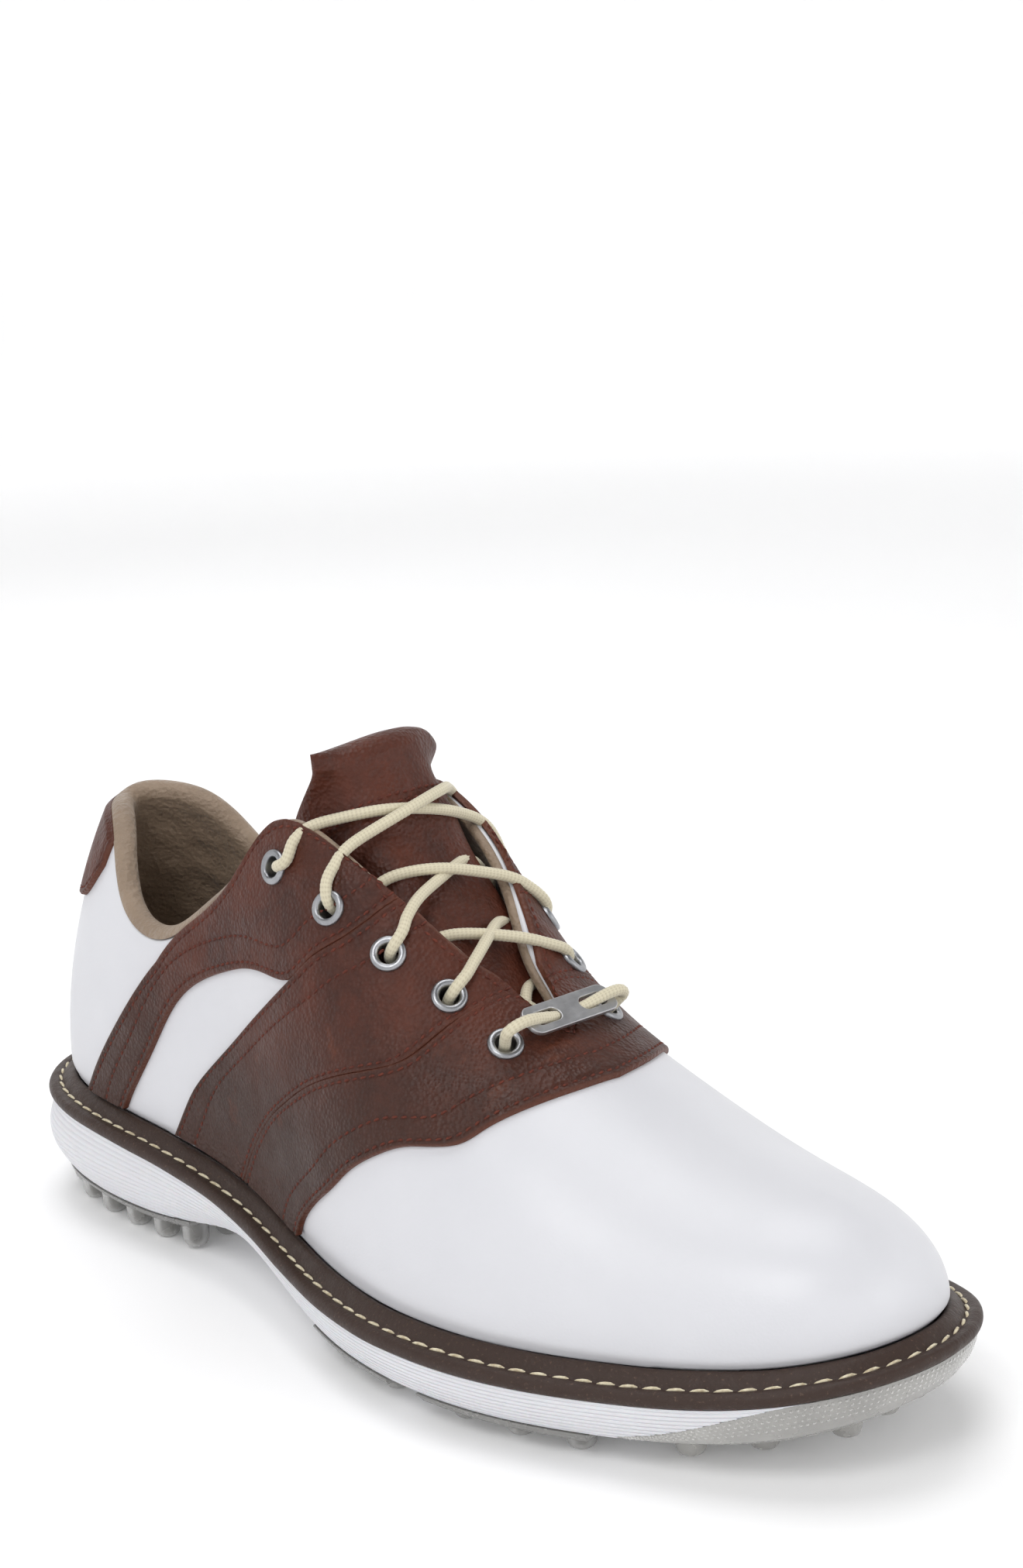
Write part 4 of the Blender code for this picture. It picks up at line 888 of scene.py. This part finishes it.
tongue_knots = lengths(np.array(TONGUE)[:, :2]) / lengths(np.array(TONGUE)[:, :2])[-1]
tongue_x, tongue_z, tongue_half, tongue_arch, tongue_y = (
    curve(list(zip(tongue_knots, np.array(TONGUE)[:, k]))) for k in range(5)
)


def tongue_point(t, w, depth=0.0):
    """A point of the tongue: t from its base to its top, w across it, depth below its face."""
    t, w, depth = np.broadcast_arrays(*(np.asarray(a, float) for a in (t, w, depth)))
    inside = np.clip(t, 0.001, 0.999)
    dx, dz = (f(inside + 1e-3) - f(inside - 1e-3) for f in (tongue_x, tongue_z))
    length = np.hypot(dx, dz) + 1e-9
    in_x, in_z = -dz / length, dx / length
    half, arch = tongue_half(t), tongue_arch(t)
    turn = np.arctan(2 * arch * w / half)
    wrap = 12 * np.abs(w)**5 * smooth((t - 0.5) / 0.25) * smooth((0.955 - t) / 0.07)
    flat = smooth((0.93 - t) / 0.12)
    bow = (1 - flat) * w * w + flat * np.where(w > 0, np.abs(w)**6, np.abs(w)**4)
    sink = arch * bow + wrap + depth * np.cos(turn)
    y = tongue_y(t) + half * w - depth * np.sin(turn)
    return np.stack([tongue_x(t) + in_x * sink, y, tongue_z(t) + in_z * sink], -1)


TONGUE_SEAM = 0.845


def tongue_thickness(t, w):
    rise = 2.5 + 3.6 * smooth((t - 0.45) / 0.4)
    return 3.1 + rise * (1 - 0.45 * w**4)


def make_tongue():
    """A padded tongue: face and lining meet at its sides and over its top, and one corner folds out."""
    t = np.concatenate([np.linspace(0, 0.7, 70), np.linspace(0.7, 1, 130)[1:]])
    tt, ww = np.meshgrid(t, np.linspace(-1, 1, 101), indexing="ij")
    at = tt * (1 - 0.014 * smooth(-ww) - 0.058 * np.clip(ww, 0, 1)**3)
    total = tongue_thickness(at, ww)
    side = np.sqrt(np.maximum(0, 1 - np.abs(ww)**7))
    end = np.sqrt(np.maximum(0, 1 - np.clip((tt - 0.955) / 0.045, 0, 1)**2))
    half = total / 2 * side * end
    curl = -3.4 * smooth((-ww - 0.66) / 0.34) * smooth((tt - 0.92) / 0.07)
    curl = curl - 1.2 * smooth((ww - 0.7) / 0.3) * smooth((tt - 0.9) / 0.1)
    middle = total / 2 + curl
    cap = -0.55 * smooth((at - TONGUE_SEAM) / 0.004)
    pull = 0.55 * np.exp(-np.abs(at - TONGUE_SEAM - 0.01) / 0.02) * (1 - ww**4)
    folds = 0.30 * np.sin(ww * 4.5 + at * 26 + 2 * np.sin(at * 11 + ww * 3)) * smooth((at - 0.25) * 4)
    dents = 0.16 * np.sin(ww * 31 + 3 * np.sin(at * 60)) * np.exp(-((at - TONGUE_SEAM) / 0.022)**2)
    face = tongue_point(at, ww, middle - half + (cap + pull + folds + dents) * side * end)
    back = tongue_point(at, ww, middle + half)
    edge = tongue_point(at, ww, middle)
    raw = np.exp(-((at - TONGUE_SEAM - 0.001) / 0.0022)**2) * 0.7
    for name, skin, slot, material, nodes in (
        ("tongue_front", face, "brown_leather", TONGUE_LEATHER, ["tongue_face"]),
        ("tongue_back", back, "lining", None, ["tongue_foam", "tongue_lining"]),
    ):
        values = np.concatenate([raw.ravel(), np.zeros(raw.size)])
        made = add_mesh(name, *sheet(skin, edge), slot, body=None, material=material, sharp=75,
                        values={"edge": values}, replaced=nodes)
        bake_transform(made)
    normal = unit(tongue_point(at, ww, -1.0) - tongue_point(at, ww, 0.0))
    for offset in (0.011, 0.028):
        j = np.arange(3, 98)
        i = np.abs(at[:, j] - TONGUE_SEAM - offset).argmin(axis=0)
        leather_row(face[i, j], normal[i, j])
    add_stitches("rust", "brown_leather", RUST_THREAD, "tongue_stitching", body="tongue")


# ---------------------------------------------------------------- eyelets, lace and tag


def turned(profile, segments, centre, axis):
    """A closed profile (radius, height) turned about an axis through centre."""
    turn = np.array(Vector(axis).to_track_quat("Z", "Y").to_matrix())
    angle = np.arange(segments) / segments * 2 * np.pi
    radius, height = np.array(profile, float).T
    points = np.stack([np.outer(np.cos(angle), radius), np.outer(np.sin(angle), radius),
                       np.broadcast_to(height, (segments, len(radius)))], -1)
    return centre + points.reshape(-1, 3) @ turn.T, grid_faces(segments, len(radius), True, True)


def make_eyelets():
    """Rolled metal eyelets: a domed flange that turns down into the barrel."""
    top, bottom = OVERLAY_TOP + 0.05, -4.3
    dome = [(EYELET_BORE + 0.02 + (EYELET_FLANGE - EYELET_BORE) * (1 - math.cos(a)) / 2,
             top + 1.0 * math.sin(a)**0.8) for a in np.linspace(0.12, math.pi - 0.01, 16)]
    profile = [(EYELET_BORE, bottom), (EYELET_BORE, top - 0.2), *dome, (EYELET_FLANGE, top - 0.25),
               (EYELET_BARREL, top - 0.25), (EYELET_BARREL, bottom)]
    for row in ROWS:
        for number in range(1, 6):
            centre, axis = eyelet_place(row, number)
            points, faces = turned(profile, 48, centre, axis)
            name = f"eyelet_{row}_{number}"
            add_mesh(name, points, faces, "eyelet_metal", replaced=[name], sharp=50)


LACE_RADIUS = 1.2
# How the lace leaves an eyelet, above and below the leather: (height along its axis, way from it).
LEAD_OVER = ((1.3, 0.7), (2.9, 1.9), (3.3, 3.9), (2.8, 6.0))
LEAD_UNDER = ((-4.8, 0.0), (-5.9, 2.0), (-6.4, 5.0))
EDGE_OVER, EDGE_UNDER = 2.4, -4.7
CROSSING_LIFT = 2.8
TAIL_DEPTH = 5.9
TAIL = ((0, 0, 0), (2, -1.5, -8), (6, -2.5, -19), (11, -3, -31))
TAG_OUT, TAG_SHIFT, TAG_FACING = 7.0, 1.0, (0.56, 0, 0.83)


def over_tongue(start, end, lift, start_over, end_over):
    """Points on the way from one edge of the throat to the other, resting on the tongue."""
    t, w = np.meshgrid(np.linspace(0.05, 1, 96), np.linspace(-0.94, 0.94, 48), indexing="ij")
    face = tongue_point(t, w).reshape(-1, 3)
    spine = tongue_point(np.linspace(0.05, 1, 96), 0)
    nearest = np.argmin(np.linalg.norm(spine - (start + end) / 2, axis=1))
    out = unit(tongue_point(0.05 + 0.01 * nearest, 0, -1.0) - tongue_point(0.05 + 0.01 * nearest, 0))
    height = face @ out
    flat = face - height[:, None] * out
    shares = np.linspace(0.12, 0.88, 9)
    points = start + (end - start) * shares[:, None]
    level = points @ out
    wanted = level.copy()
    for i, (p, share) in enumerate(zip(points, shares)):
        near = np.linalg.norm(flat - (p - level[i] * out), axis=1) < 1.6
        if near.any():
            clear = LACE_RADIUS + 0.05 + lift * math.sin(math.pi * share)**2
            push = (1 if start_over else smooth(share / 0.4)) * (1 if end_over else smooth((1 - share) / 0.4))
            rest = height[near].max() + clear
            wanted[i] = level[i] + max(0.6 * math.sin(math.pi * share), (rest - level[i]) * push)
    return list(points + (wanted - level)[:, None] * out)


def lace_lead(row, number, over, towards):
    """The lace's way from the bore of an eyelet to the throat's edge, above or below the leather."""
    centre, axis = eyelet_place(row, number)
    across = towards - centre
    across -= axis * (across @ axis)
    across /= np.linalg.norm(across)
    return [centre + axis * high + across * away for high, away in (LEAD_OVER if over else LEAD_UNDER)]


def throat_edge(row, rho, over):
    """Where the lace passes the edge of the throat, above or below the leather."""
    r = np.array([rho if row == "lateral" else 2 - rho])
    side = 1 if row == "lateral" else -1
    edge = upper_point(r, top_of(r), EDGE_OVER if over else EDGE_UNDER)[0][0]
    return edge + (0, side * (0.3 if over else 2.0), 0)


def span(start, end, start_over, end_over, lift):
    """The lace's way across the throat between two eyelets, over or under each edge."""
    near, far = eyelet_place(*start)[0], eyelet_place(*end)[0]
    lead = lace_lead(*start, start_over, far)
    finish = lace_lead(*end, end_over, near)[::-1]
    rho = [from_heel((EYELETS_OUTER if row == "lateral" else EYELETS_INNER)[number - 1][0])
           for row, number in (start, end)]
    edges = [throat_edge(start[0], rho[0] * 0.82 + rho[1] * 0.18, start_over),
             throat_edge(end[0], rho[0] * 0.18 + rho[1] * 0.82, end_over)]
    return [*lead, edges[0], *over_tongue(*edges, lift, start_over, end_over), edges[1], *finish]


def strand(stops, lift=0.0):
    """Half of the lace, from the lowest eyelet of one row to the highest of the other."""
    path = [eyelet_place(*stops[0])[0]]
    for i, (start, end) in enumerate(zip(stops, stops[1:])):
        path += span(start, end, i > 0, i == 3, lift)
        path.append(eyelet_place(*end)[0])
    return path


def lace_tail(row):
    """The tucked end of the lace, down the inside of the facing."""
    side = -1 if row == "lateral" else 1
    centre, axis = eyelet_place(row, 1)
    return [centre - axis * TAIL_DEPTH + (x, y * side, z) for x, y, z in TAIL]


def tag_frame():
    """The tag's centre, its long direction and its outward direction."""
    near, _ = eyelet_place("lateral", 5)
    far, _ = eyelet_place("medial", 5)
    along = (far - near) / np.linalg.norm(far - near)
    out = np.array(TAG_FACING)
    out -= along * (out @ along)
    out /= np.linalg.norm(out)
    return (near + far) / 2 + along * TAG_SHIFT + out * TAG_OUT, along, out


def tag_passage():
    """The lace's way from the outer row to the inner row through the tag's two slots."""
    centre, along, out = tag_frame()
    half = ((20, 0.5), (13, 2.4), (9.5, 1.6), (7.6, 0), (5.5, -1.8))
    steps = [(-a, o) for a, o in half] + [(0, -2.4)] + list(half[::-1])
    return [centre + along * a + out * o for a, o in steps]


def lace_path():
    """The lace from one tucked end to the other: two strands that cross on the tongue, joined at the tag."""
    one = [("lateral", 5), ("medial", 4), ("lateral", 3), ("medial", 2), ("lateral", 1)]
    other = [({"lateral": "medial", "medial": "lateral"}[row], n) for row, n in one]
    path = lace_tail("lateral")[::-1] + strand(one)[::-1] + tag_passage()
    return path + strand(other, CROSSING_LIFT) + lace_tail("medial")


def tube(path, radius, sides):
    """Rings round a path with no twist; radius may be a function of (angle, length run)."""
    along = unit(np.gradient(path, axis=0))
    side = np.zeros_like(path)
    side[0] = unit(np.cross(along[0], (0.3, 0.5, 0.8)))
    for i in range(1, len(path)):
        carried = side[i - 1] - along[i] * (side[i - 1] @ along[i])
        side[i] = carried / np.linalg.norm(carried)
    up = np.cross(along, side)
    angle = np.arange(sides) / sides * 2 * np.pi
    run = lengths(path)
    size = radius(angle[None], run[:, None])
    rings = (path[:, None] + side[:, None] * (np.cos(angle) * size)[..., None]
             + up[:, None] * (np.sin(angle) * size)[..., None])
    return rings


BRAID_PITCH, BRAID_STRANDS = 2.0, 6
BRAID_RADIUS, BRAID_DEPTH = 1.36, 0.09
LACE_STEP = 0.34


def settled(path, width):
    """A path with its small kinks eased, its two ends kept."""
    reach = np.arange(-3 * width, 3 * width + 1)
    weight = np.exp(-(reach / width)**2 / 2)
    weight /= weight.sum()
    ends = [np.repeat(path[:1], 3 * width, 0), path, np.repeat(path[-1:], 3 * width, 0)]
    padded = np.concatenate(ends)
    return np.stack([np.convolve(padded[:, k], weight, "valid") for k in range(3)], -1)


def make_lace():
    """A braided round lace: two families of plaits that cross on a round core, eased between the eyelets."""
    path = through(lace_path(), LACE_STEP)
    bores = np.array([centre for centre, axis in EYELET_AXES])
    away = np.linalg.norm(path[:, None] - bores[None], axis=-1).min(axis=1)
    free = smooth((away - 6) / 6)[:, None]
    path = settled(path, 7) * (1 - free) + settled(path, 17) * free
    sides = 30

    def weave(angle, run):
        one = np.cos(BRAID_STRANDS * angle + run * 2 * np.pi / BRAID_PITCH)
        two = np.cos(BRAID_STRANDS * angle - run * 2 * np.pi / BRAID_PITCH)
        return one * two

    rings = tube(path, lambda a, s: BRAID_RADIUS + BRAID_DEPTH * weave(a, s), sides)
    # How deep each point lies in a valley of the weave: the weight of the painted shade there.
    valley_shade = np.clip(-weave(np.arange(sides)[None] / sides * 2 * np.pi, lengths(path)[:, None]), 0, 1)**0.8
    add_mesh("lace", rings, grid_faces(len(path), sides, closed_columns=True), "cord", replaced=["lace"],
             values={"valley_shade": valley_shade}, sharp=120)


def slot_outline(length, width, segments=14):
    """A slot with round ends, clockwise."""
    radius, straight = width / 2, (length - width) / 2
    turn = np.radians(np.concatenate([np.linspace(-90, 90, segments), np.linspace(90, 270, segments)]))
    centres = np.repeat([straight, -straight], segments)
    return np.stack([centres + radius * np.cos(turn), radius * np.sin(turn)], -1)[::-1]


TAG_SIZE, TAG_THICK, TAG_CORNER, TAG_RIM = (28.0, 8.0), 1.2, 2.6, 0.25
TAG_SLOT, TAG_SLOT_OFFSET = (8.4, 3.8), 7.6


def make_tag():
    """A plate with two slots and softened rims."""
    centre, along, out = tag_frame()
    side = np.cross(out, along)
    data = bpy.data.curves.new("lace_tag_plate", "CURVE")
    data.dimensions, data.fill_mode = "2D", "BOTH"
    data.extrude, data.bevel_depth, data.bevel_resolution = (TAG_THICK / 2 - TAG_RIM) * MM, TAG_RIM * MM, 3
    length, width = (size / 2 - TAG_RIM - TAG_CORNER for size in TAG_SIZE)
    rounds = [(sx * length + TAG_CORNER * math.cos(a), sy * width + TAG_CORNER * math.sin(a))
              for sx, sy, first in ((1, -1, -90), (1, 1, 0), (-1, 1, 90), (-1, -1, 180))
              for a in np.radians(np.linspace(first, first + 90, 9))]
    hole = slot_outline(TAG_SLOT[0] + 2 * TAG_RIM, TAG_SLOT[1] + 2 * TAG_RIM)
    for loop in (rounds, hole - (TAG_SLOT_OFFSET, 0), hole + (TAG_SLOT_OFFSET, 0)):
        spline = data.splines.new("POLY")
        spline.points.add(len(loop) - 1)
        for point, (x, y) in zip(spline.points, loop):
            point.co = (x * MM, y * MM, 0, 1)
        spline.use_cyclic_u = True
    place = Matrix.Translation(Vector((centre + CENTRING) * MM))
    place = place @ Matrix((along, side, out)).transposed().to_4x4()
    add_object("lace_tag_plate", data, MATERIALS["tag_metal"], "lace_tag", ["lace_tag"], place)


# ---------------------------------------------------------------- the sole


ROUND = np.arange(720) / 360


def side_inset(r, height):
    """How far the sole's side stands inside the welt's edge at a share of its height, 0 at the base."""
    swell = -2.6 * np.sin(np.pi * np.minimum(1, height * 1.15)) * smooth((0.35 - from_heel(r)) / 0.3)
    return 0.8 + swell + 3.0 * (1 - height)**2.2


def sole_side(r, height, extra=0.0):
    """Points on the sole's side."""
    r, height, extra = np.broadcast_arrays(*(np.asarray(a, float) for a in (r, height, extra)))
    shape = r.shape
    p = outline(round_the_last(r.ravel()), side_inset(r, height).ravel() + extra.ravel())[0]
    low, high = sole_base(p[:, 0]), welt_height(p[:, 0]) - 0.3
    return np.column_stack([p, low + (high - low) * height.ravel()]).reshape(shape + (3,))


def toe_cover(r):
    """The share of the sole's side that the outsole's toe piece covers at r."""
    return smooth((from_heel(r) - 0.77) / 0.15)


def make_midsole():
    """White foam with fine grooves round its side."""
    rr, hh = np.meshgrid(ROUND, np.linspace(0, 1, 110), indexing="ij")
    flat = sole_side(rr, hh)
    from_top = welt_height(flat[..., 0]) - flat[..., 2]
    pitch = 1.05 + 0.45 * smooth((0.4 - from_heel(rr)) / 0.25)
    pitch = pitch - 0.12 * np.exp(-((from_heel(rr) - 0.42) / 0.12)**2)
    groove = 0.32 * np.maximum(0, np.cos(2 * np.pi * (from_top / pitch)))**3 * smooth((from_top - 0.7) / 0.6)
    covered = (hh <= toe_cover(rr)) * 2.1 * (from_heel(rr) > 0.79)
    side = sole_side(rr, hh, groove * (covered == 0) + covered)
    pile = Pile()
    pile.add(side, grid_faces(*rr.shape, closed_rows=True))
    # The flat underside and top run from one side to the other.
    share = np.linspace(0, 1, 26)[:, None]
    opposite = side[-np.arange(len(ROUND)) % len(ROUND)]
    for row, turn in ((0, -1), (-1, 1)):
        plane = (side[:, None, row] * (1 - share) + opposite[:, None, row] * share)[:len(ROUND) // 2 + 1]
        pile.add(plane, grid_faces(*plane.shape[:2])[:, ::turn])
    add_mesh("midsole", *pile.mesh(), "midsole", replaced=["midsole", "insole_board", "shank"], sharp=60)


def make_welt():
    """The welt: a rounded edge, a ledge with a sunk stitch line, and a raised lip against the upper."""
    profile = [(0.9, 0.0), (0.25, 0.15), (-0.1, 0.7), (-0.25, 1.5), (-0.1, 2.3), (0.35, 2.95), (0.95, 3.3),
               (1.7, 3.45), (2.4, 3.45), (2.9, 3.25), (3.2, 3.1), (3.5, 3.15), (3.9, 3.55), (4.4, 4.2),
               (5.0, 4.9), (5.6, 5.5), (6.2, 5.95), (6.7, 6.2), (7.2, 6.25), (7.7, 6.0), (8.2, 5.0)]
    inset, rise = np.concatenate([through(profile, 0.35), [(10.0, 3.0), (10.0, 0.0)]]).T
    rr, ii = np.meshgrid(ROUND, inset, indexing="ij")
    p = outline(round_the_last(rr.ravel()), ii.ravel())[0]
    z = welt_height(p[:, 0]) + np.broadcast_to(rise, rr.shape).ravel()
    wave = 0.12 * np.sin(rr * 61) * np.sin(rr * 23 + ii)
    points = np.column_stack([p, z + wave.ravel()])
    add_mesh("welt", points, grid_faces(len(ROUND), len(inset), True, True), "welt_leather",
             replaced=["welt"], sharp=70)
    # The lockstitch that shows on the ledge.
    r = np.append(np.arange(0, 2, 1 / 400), 0)
    p, out = outline(round_the_last(r), 3.2)
    path = np.column_stack([p, welt_height(p[:, 0]) + 3.42])
    normal = unit(np.column_stack([out * 0.25, np.ones(len(r))]))
    stitch_row(path, normal, 5.3, 4.9, 0.85, 0.4, 0.5, "cream", 0.16)
    add_stitches("cream", "stitching", MATERIALS["stitching"], "welt_stitches", replaced=["welt_thread"])


LUG_PITCH, LUG_RADIUS, LUG_ROOT = 13.0, 3.7, 0.6
LUG_PROFILE = ((1.02, 0.1), (0.97, 0.5), (0.9, 0.78), (0.74, 0.93), (0.45, 1))
POD_INSET = 3.3


def lug(x, y, high, tip):
    """A rounded stud that hangs from a plate down to its tip."""
    drop = high - tip
    profile = [(LUG_RADIUS * wide, -drop * deep) for wide, deep in LUG_PROFILE]
    radii, heights = through([(LUG_RADIUS * 1.08, LUG_ROOT), *profile, (0.01, -drop)], 0.6).T
    angle = np.arange(28) / 28 * 2 * np.pi
    points = np.stack([np.outer(np.cos(angle), radii) + x, np.outer(np.sin(angle), radii) + y,
                       np.broadcast_to(heights, (28, len(radii))) + high], -1)
    return points.reshape(-1, 3), grid_faces(28, len(radii), closed_rows=True)


def inside_sole(x, side, inset):
    """y of the sole's outline at x, on the outer (-1) or the inner (+1) side."""
    p = outline(np.linspace(0, 1, 721), inset)[0]
    half = p[p[:, 1] * side > -6] if side > 0 else p[p[:, 1] < 6]
    order = np.argsort(half[:, 0])
    return np.interp(x, half[order, 0], half[order, 1])


def make_pod(name, x_low, x_high, side_low, side_high, thick):
    """A plate of the outsole with rounded studs."""
    xs = np.linspace(x_low, x_high, 40)
    shares = np.linspace(side_low, side_high, 40)
    low, high = inside_sole(xs, -1, POD_INSET), inside_sole(xs, 1, POD_INSET)
    y = low[:, None] + (high - low)[:, None] * shares
    x = np.broadcast_to(xs[:, None], y.shape)
    z = sole_base(x) - 0.2
    grid = np.stack([x, y, z], -1)
    ahead, over = lengths(grid, 0), lengths(grid, 1)
    rim = np.minimum(np.minimum(ahead, ahead[-1:] - ahead), np.minimum(over, over[:, -1:] - over))
    round_off = 1 - np.sqrt(np.maximum(0, 1 - (1 - np.clip(rim / 1.2, 0, 1))**2))
    under = grid - np.stack([0 * z, 0 * z, thick * (1 - 0.75 * round_off)], -1)
    pile = Pile()
    pile.add(*sheet(grid, under))
    nx = max(1, round((x_high - x_low) / LUG_PITCH))
    ny = max(2, round((side_high - side_low) * 80 / LUG_PITCH))
    for i in range(nx):
        at = x_low + (x_high - x_low) * (i + 0.5) / nx
        low, high = inside_sole(at, -1, POD_INSET + 1.1), inside_sole(at, 1, POD_INSET + 1.1)
        for j in range(ny):
            share = side_low + (side_high - side_low) * (j + 0.5) / ny
            base = float(sole_base(at)) - 0.2 - thick
            tip = max(0.0, base + thick + 0.2 - 9.5) * 0.75
            pile.add(*lug(at, low + (high - low) * share, base + 0.4, tip))
    add_mesh(name, *pile.mesh(), "outsole", replaced=[name], sharp=60)


BEAD_RADIUS, BEAD_HEIGHT, BEAD_PITCH = 0.42, 0.22, 1.5
TOE_HUB, TOE_THICK = (92.0, 3.0), 2.2
TOE_LUGS = ((116, (-0.62, -0.2, 0.25, 0.65)), (129, (-0.35, 0.2, 0.62)), (104, (-0.8, -0.4, 0.0, 0.4, 0.8)))


def make_toe_piece():
    """The clear toe piece: its wall turns up round the toe and carries rows of small beads."""
    r = np.linspace(0.79, 1.21, 220)
    cover = np.maximum(0.1, toe_cover(r))
    rr, ss = np.meshgrid(r, np.linspace(1, 0, 24), indexing="ij")
    wall = sole_side(rr, ss * cover[:, None], 0.15 - 0.2 * np.sin(np.pi * ss))
    reach = np.linspace(0, 0.85, 24)[1:]
    foot = wall[:, -1, :2]
    plate = foot[:, None] * (1 - reach[None, :, None]) + np.array(TOE_HUB) * reach[None, :, None]
    z = sole_base(plate[..., 0]) - TOE_THICK * smooth(reach * 9)[None]
    outer = np.concatenate([wall, np.concatenate([plate, z[..., None]], -1)], 1)
    along, down = np.gradient(outer, axis=0), np.gradient(outer, axis=1)
    normal = unit(np.cross(down, along))
    if normal[110, 4, 0] < 0:
        normal = -normal
    pile = Pile()
    pile.add(*sheet(outer, outer - normal * 1.7))
    up, turn = np.meshgrid(np.linspace(0, np.pi / 2, 4), np.arange(8) / 8 * 2 * np.pi, indexing="ij")
    wide = BEAD_RADIUS * np.cos(up)
    bead = np.stack([wide * np.cos(turn), wide * np.sin(turn), BEAD_HEIGHT * np.sin(up)], -1).reshape(-1, 3)
    for k, level in enumerate((0.86, 0.70, 0.54, 0.38)):
        path = sole_side(r, level * cover, 0.1)
        run = lengths(path)
        for s in np.arange(2 + (k % 2) * BEAD_PITCH / 2, run[-1] - 2, BEAD_PITCH):
            out = normal[int(np.interp(s, run, np.arange(len(r)))), 6]
            side = unit(np.cross(out, (0, 0, 1.0)))
            pile.add(between(s, run, path) + bead @ np.stack([side, np.cross(side, out), out]),
                     grid_faces(4, 8, closed_columns=True))
    for at, sides in TOE_LUGS:
        low, high = inside_sole(at, -1, 8), inside_sole(at, 1, 8)
        base = float(sole_base(at))
        for side in sides:
            y = (low + high) / 2 + side * (high - low) / 2
            pile.add(*lug(at, y, base - TOE_THICK + 0.5, max(0.0, base - 7.5)))
    add_mesh("outsole_toe", *pile.mesh(), "outsole", replaced=["outsole_toe"], material=TOE_RUBBER, sharp=60)


FOOTBED_INSET = 12.4


def make_sockliner():
    """The footbed: a cupped leather-covered foam sheet."""
    s = np.linspace(0, 1, 121)[1:-1]
    a, b = (outline(round_the_last(r), FOOTBED_INSET)[0] for r in (s, 2 - s))
    w = np.linspace(0, 1, 50)
    grid = a[:, None] * (1 - w[None, :, None]) + b[:, None] * w[None, :, None]
    level = welt_height((a[:, 0] + b[:, 0]) / 2)[:, None] + 2.2 * np.abs(2 * w - 1)[None]**4
    top, bottom = (np.concatenate([grid, (level + rise)[..., None]], -1) for rise in (10.2, 5.4))
    made = add_mesh("footbed", *sheet(top, bottom), "foam", material=MATERIALS["lining"],
                    replaced=["sockliner"], sharp=60)


# ---------------------------------------------------------------- the set


def make_set():
    """A pale round cyclorama that glows more towards its walls, and soft lights."""
    turn = np.arange(96) / 96 * 2 * np.pi
    bend = np.linspace(0, np.pi / 2, 24)
    radius = np.concatenate([[0.002, 0.4, 1.0, 1.6], 2.2 + 1.2 * np.sin(bend), [3.4]])
    high = np.concatenate([[0, 0, 0, 0], 1.2 * (1 - np.cos(bend)), [2.6]])
    points = np.stack([np.outer(radius, np.cos(turn)), np.outer(radius, np.sin(turn)),
                       np.broadcast_to(high[:, None], (len(high), 96))], -1).reshape(-1, 3)
    mesh = bpy.data.meshes.new("cyclorama")
    faces = grid_faces(len(radius), 96, closed_columns=True)[:, ::-1]
    mesh.from_pydata(points.tolist(), [], [*faces.tolist(), list(range(96))])
    mesh.shade_smooth()
    s = Surface("glowing_pale_paper", Roughness=0.9)
    s.colour(s.ramp(s.noise(3, 2), [(0.3, (0.93, 0.93, 0.935)), (0.7, (0.95, 0.95, 0.955))]))
    # The paper glows, weakly near the shoe and more strongly farther out: painted light that brightens the
    # backdrop and fills the shoe's sides.
    away = s.add("ShaderNodeVectorMath", {0: s.place}, operation="LENGTH").outputs["Value"]
    s.tree.links.new(s.range(away, 0.5, 2.2, 0.1, 0.38), s.shader.inputs["Emission Strength"])
    s.shader.inputs["Emission Color"].default_value = (1, 1, 1, 1)
    mesh.materials.append(s.material)
    cyclorama = bpy.data.objects.new("cyclorama", mesh)
    bpy.context.scene.collection.objects.link(cyclorama)
    for name, place, target, size, power in (
        ("key", (0.35, -0.85, 1.25), (0, 0, 0.06), 0.6, 6.5),
        ("top", (-0.15, 0.15, 1.5), (0, 0, 0.05), 0.8, 7.5),
        ("rim", (-0.9, 0.5, 0.8), (0, 0, 0.08), 0.7, 1.5),
        ("front", (1.2, 0.35, 0.5), (0.05, 0, 0.05), 0.6, 1.5),
    ):
        data = bpy.data.lights.new(name, "AREA")
        data.energy, data.size = power, size
        light = bpy.data.objects.new(name, data)
        bpy.context.scene.collection.objects.link(light)
        light.location = place
        light.rotation_euler = (Vector(place) - Vector(target)).to_track_quat("Z", "Y").to_euler()
    world = bpy.data.worlds.new("studio")
    world.use_nodes = True
    background = world.node_tree.nodes["Background"]
    background.inputs["Color"].default_value = (1, 1, 1, 1)
    background.inputs["Strength"].default_value = 0.2
    bpy.context.scene.world = world
    bpy.context.scene.view_settings.view_transform = "Standard"


# ---------------------------------------------------------------- everything

SLOTS = {entry["node"]: entry["material_slot"] for entry in frame["record"]["subparts"]}
for name, piece in frame["nodes"].items():
    piece.data.materials.clear()
    piece.data.materials.append(MATERIALS[SLOTS[name]])

make_white_leather()
make_collar_lining()
make_vamp_lining()
make_tongue()
make_overlays()
make_heel_tab()
add_stitches("rust", "brown_leather", RUST_THREAD, "leather_stitching")
make_eyelets()
make_lace()
make_tag()
make_midsole()
make_welt()
make_pod("outsole_heel", -140, -64, 0.0, 1.0, 2.4)
make_pod("outsole_waist_lateral", 2, 36, 0.0, 0.44, 2.0)
make_pod("outsole_waist_medial", 2, 36, 0.56, 1.0, 2.0)
make_pod("outsole_ball_lateral", 46, 90, 0.0, 0.46, 2.0)
make_pod("outsole_ball_medial", 46, 90, 0.54, 1.0, 2.0)
make_toe_piece()
make_sockliner()
make_set()
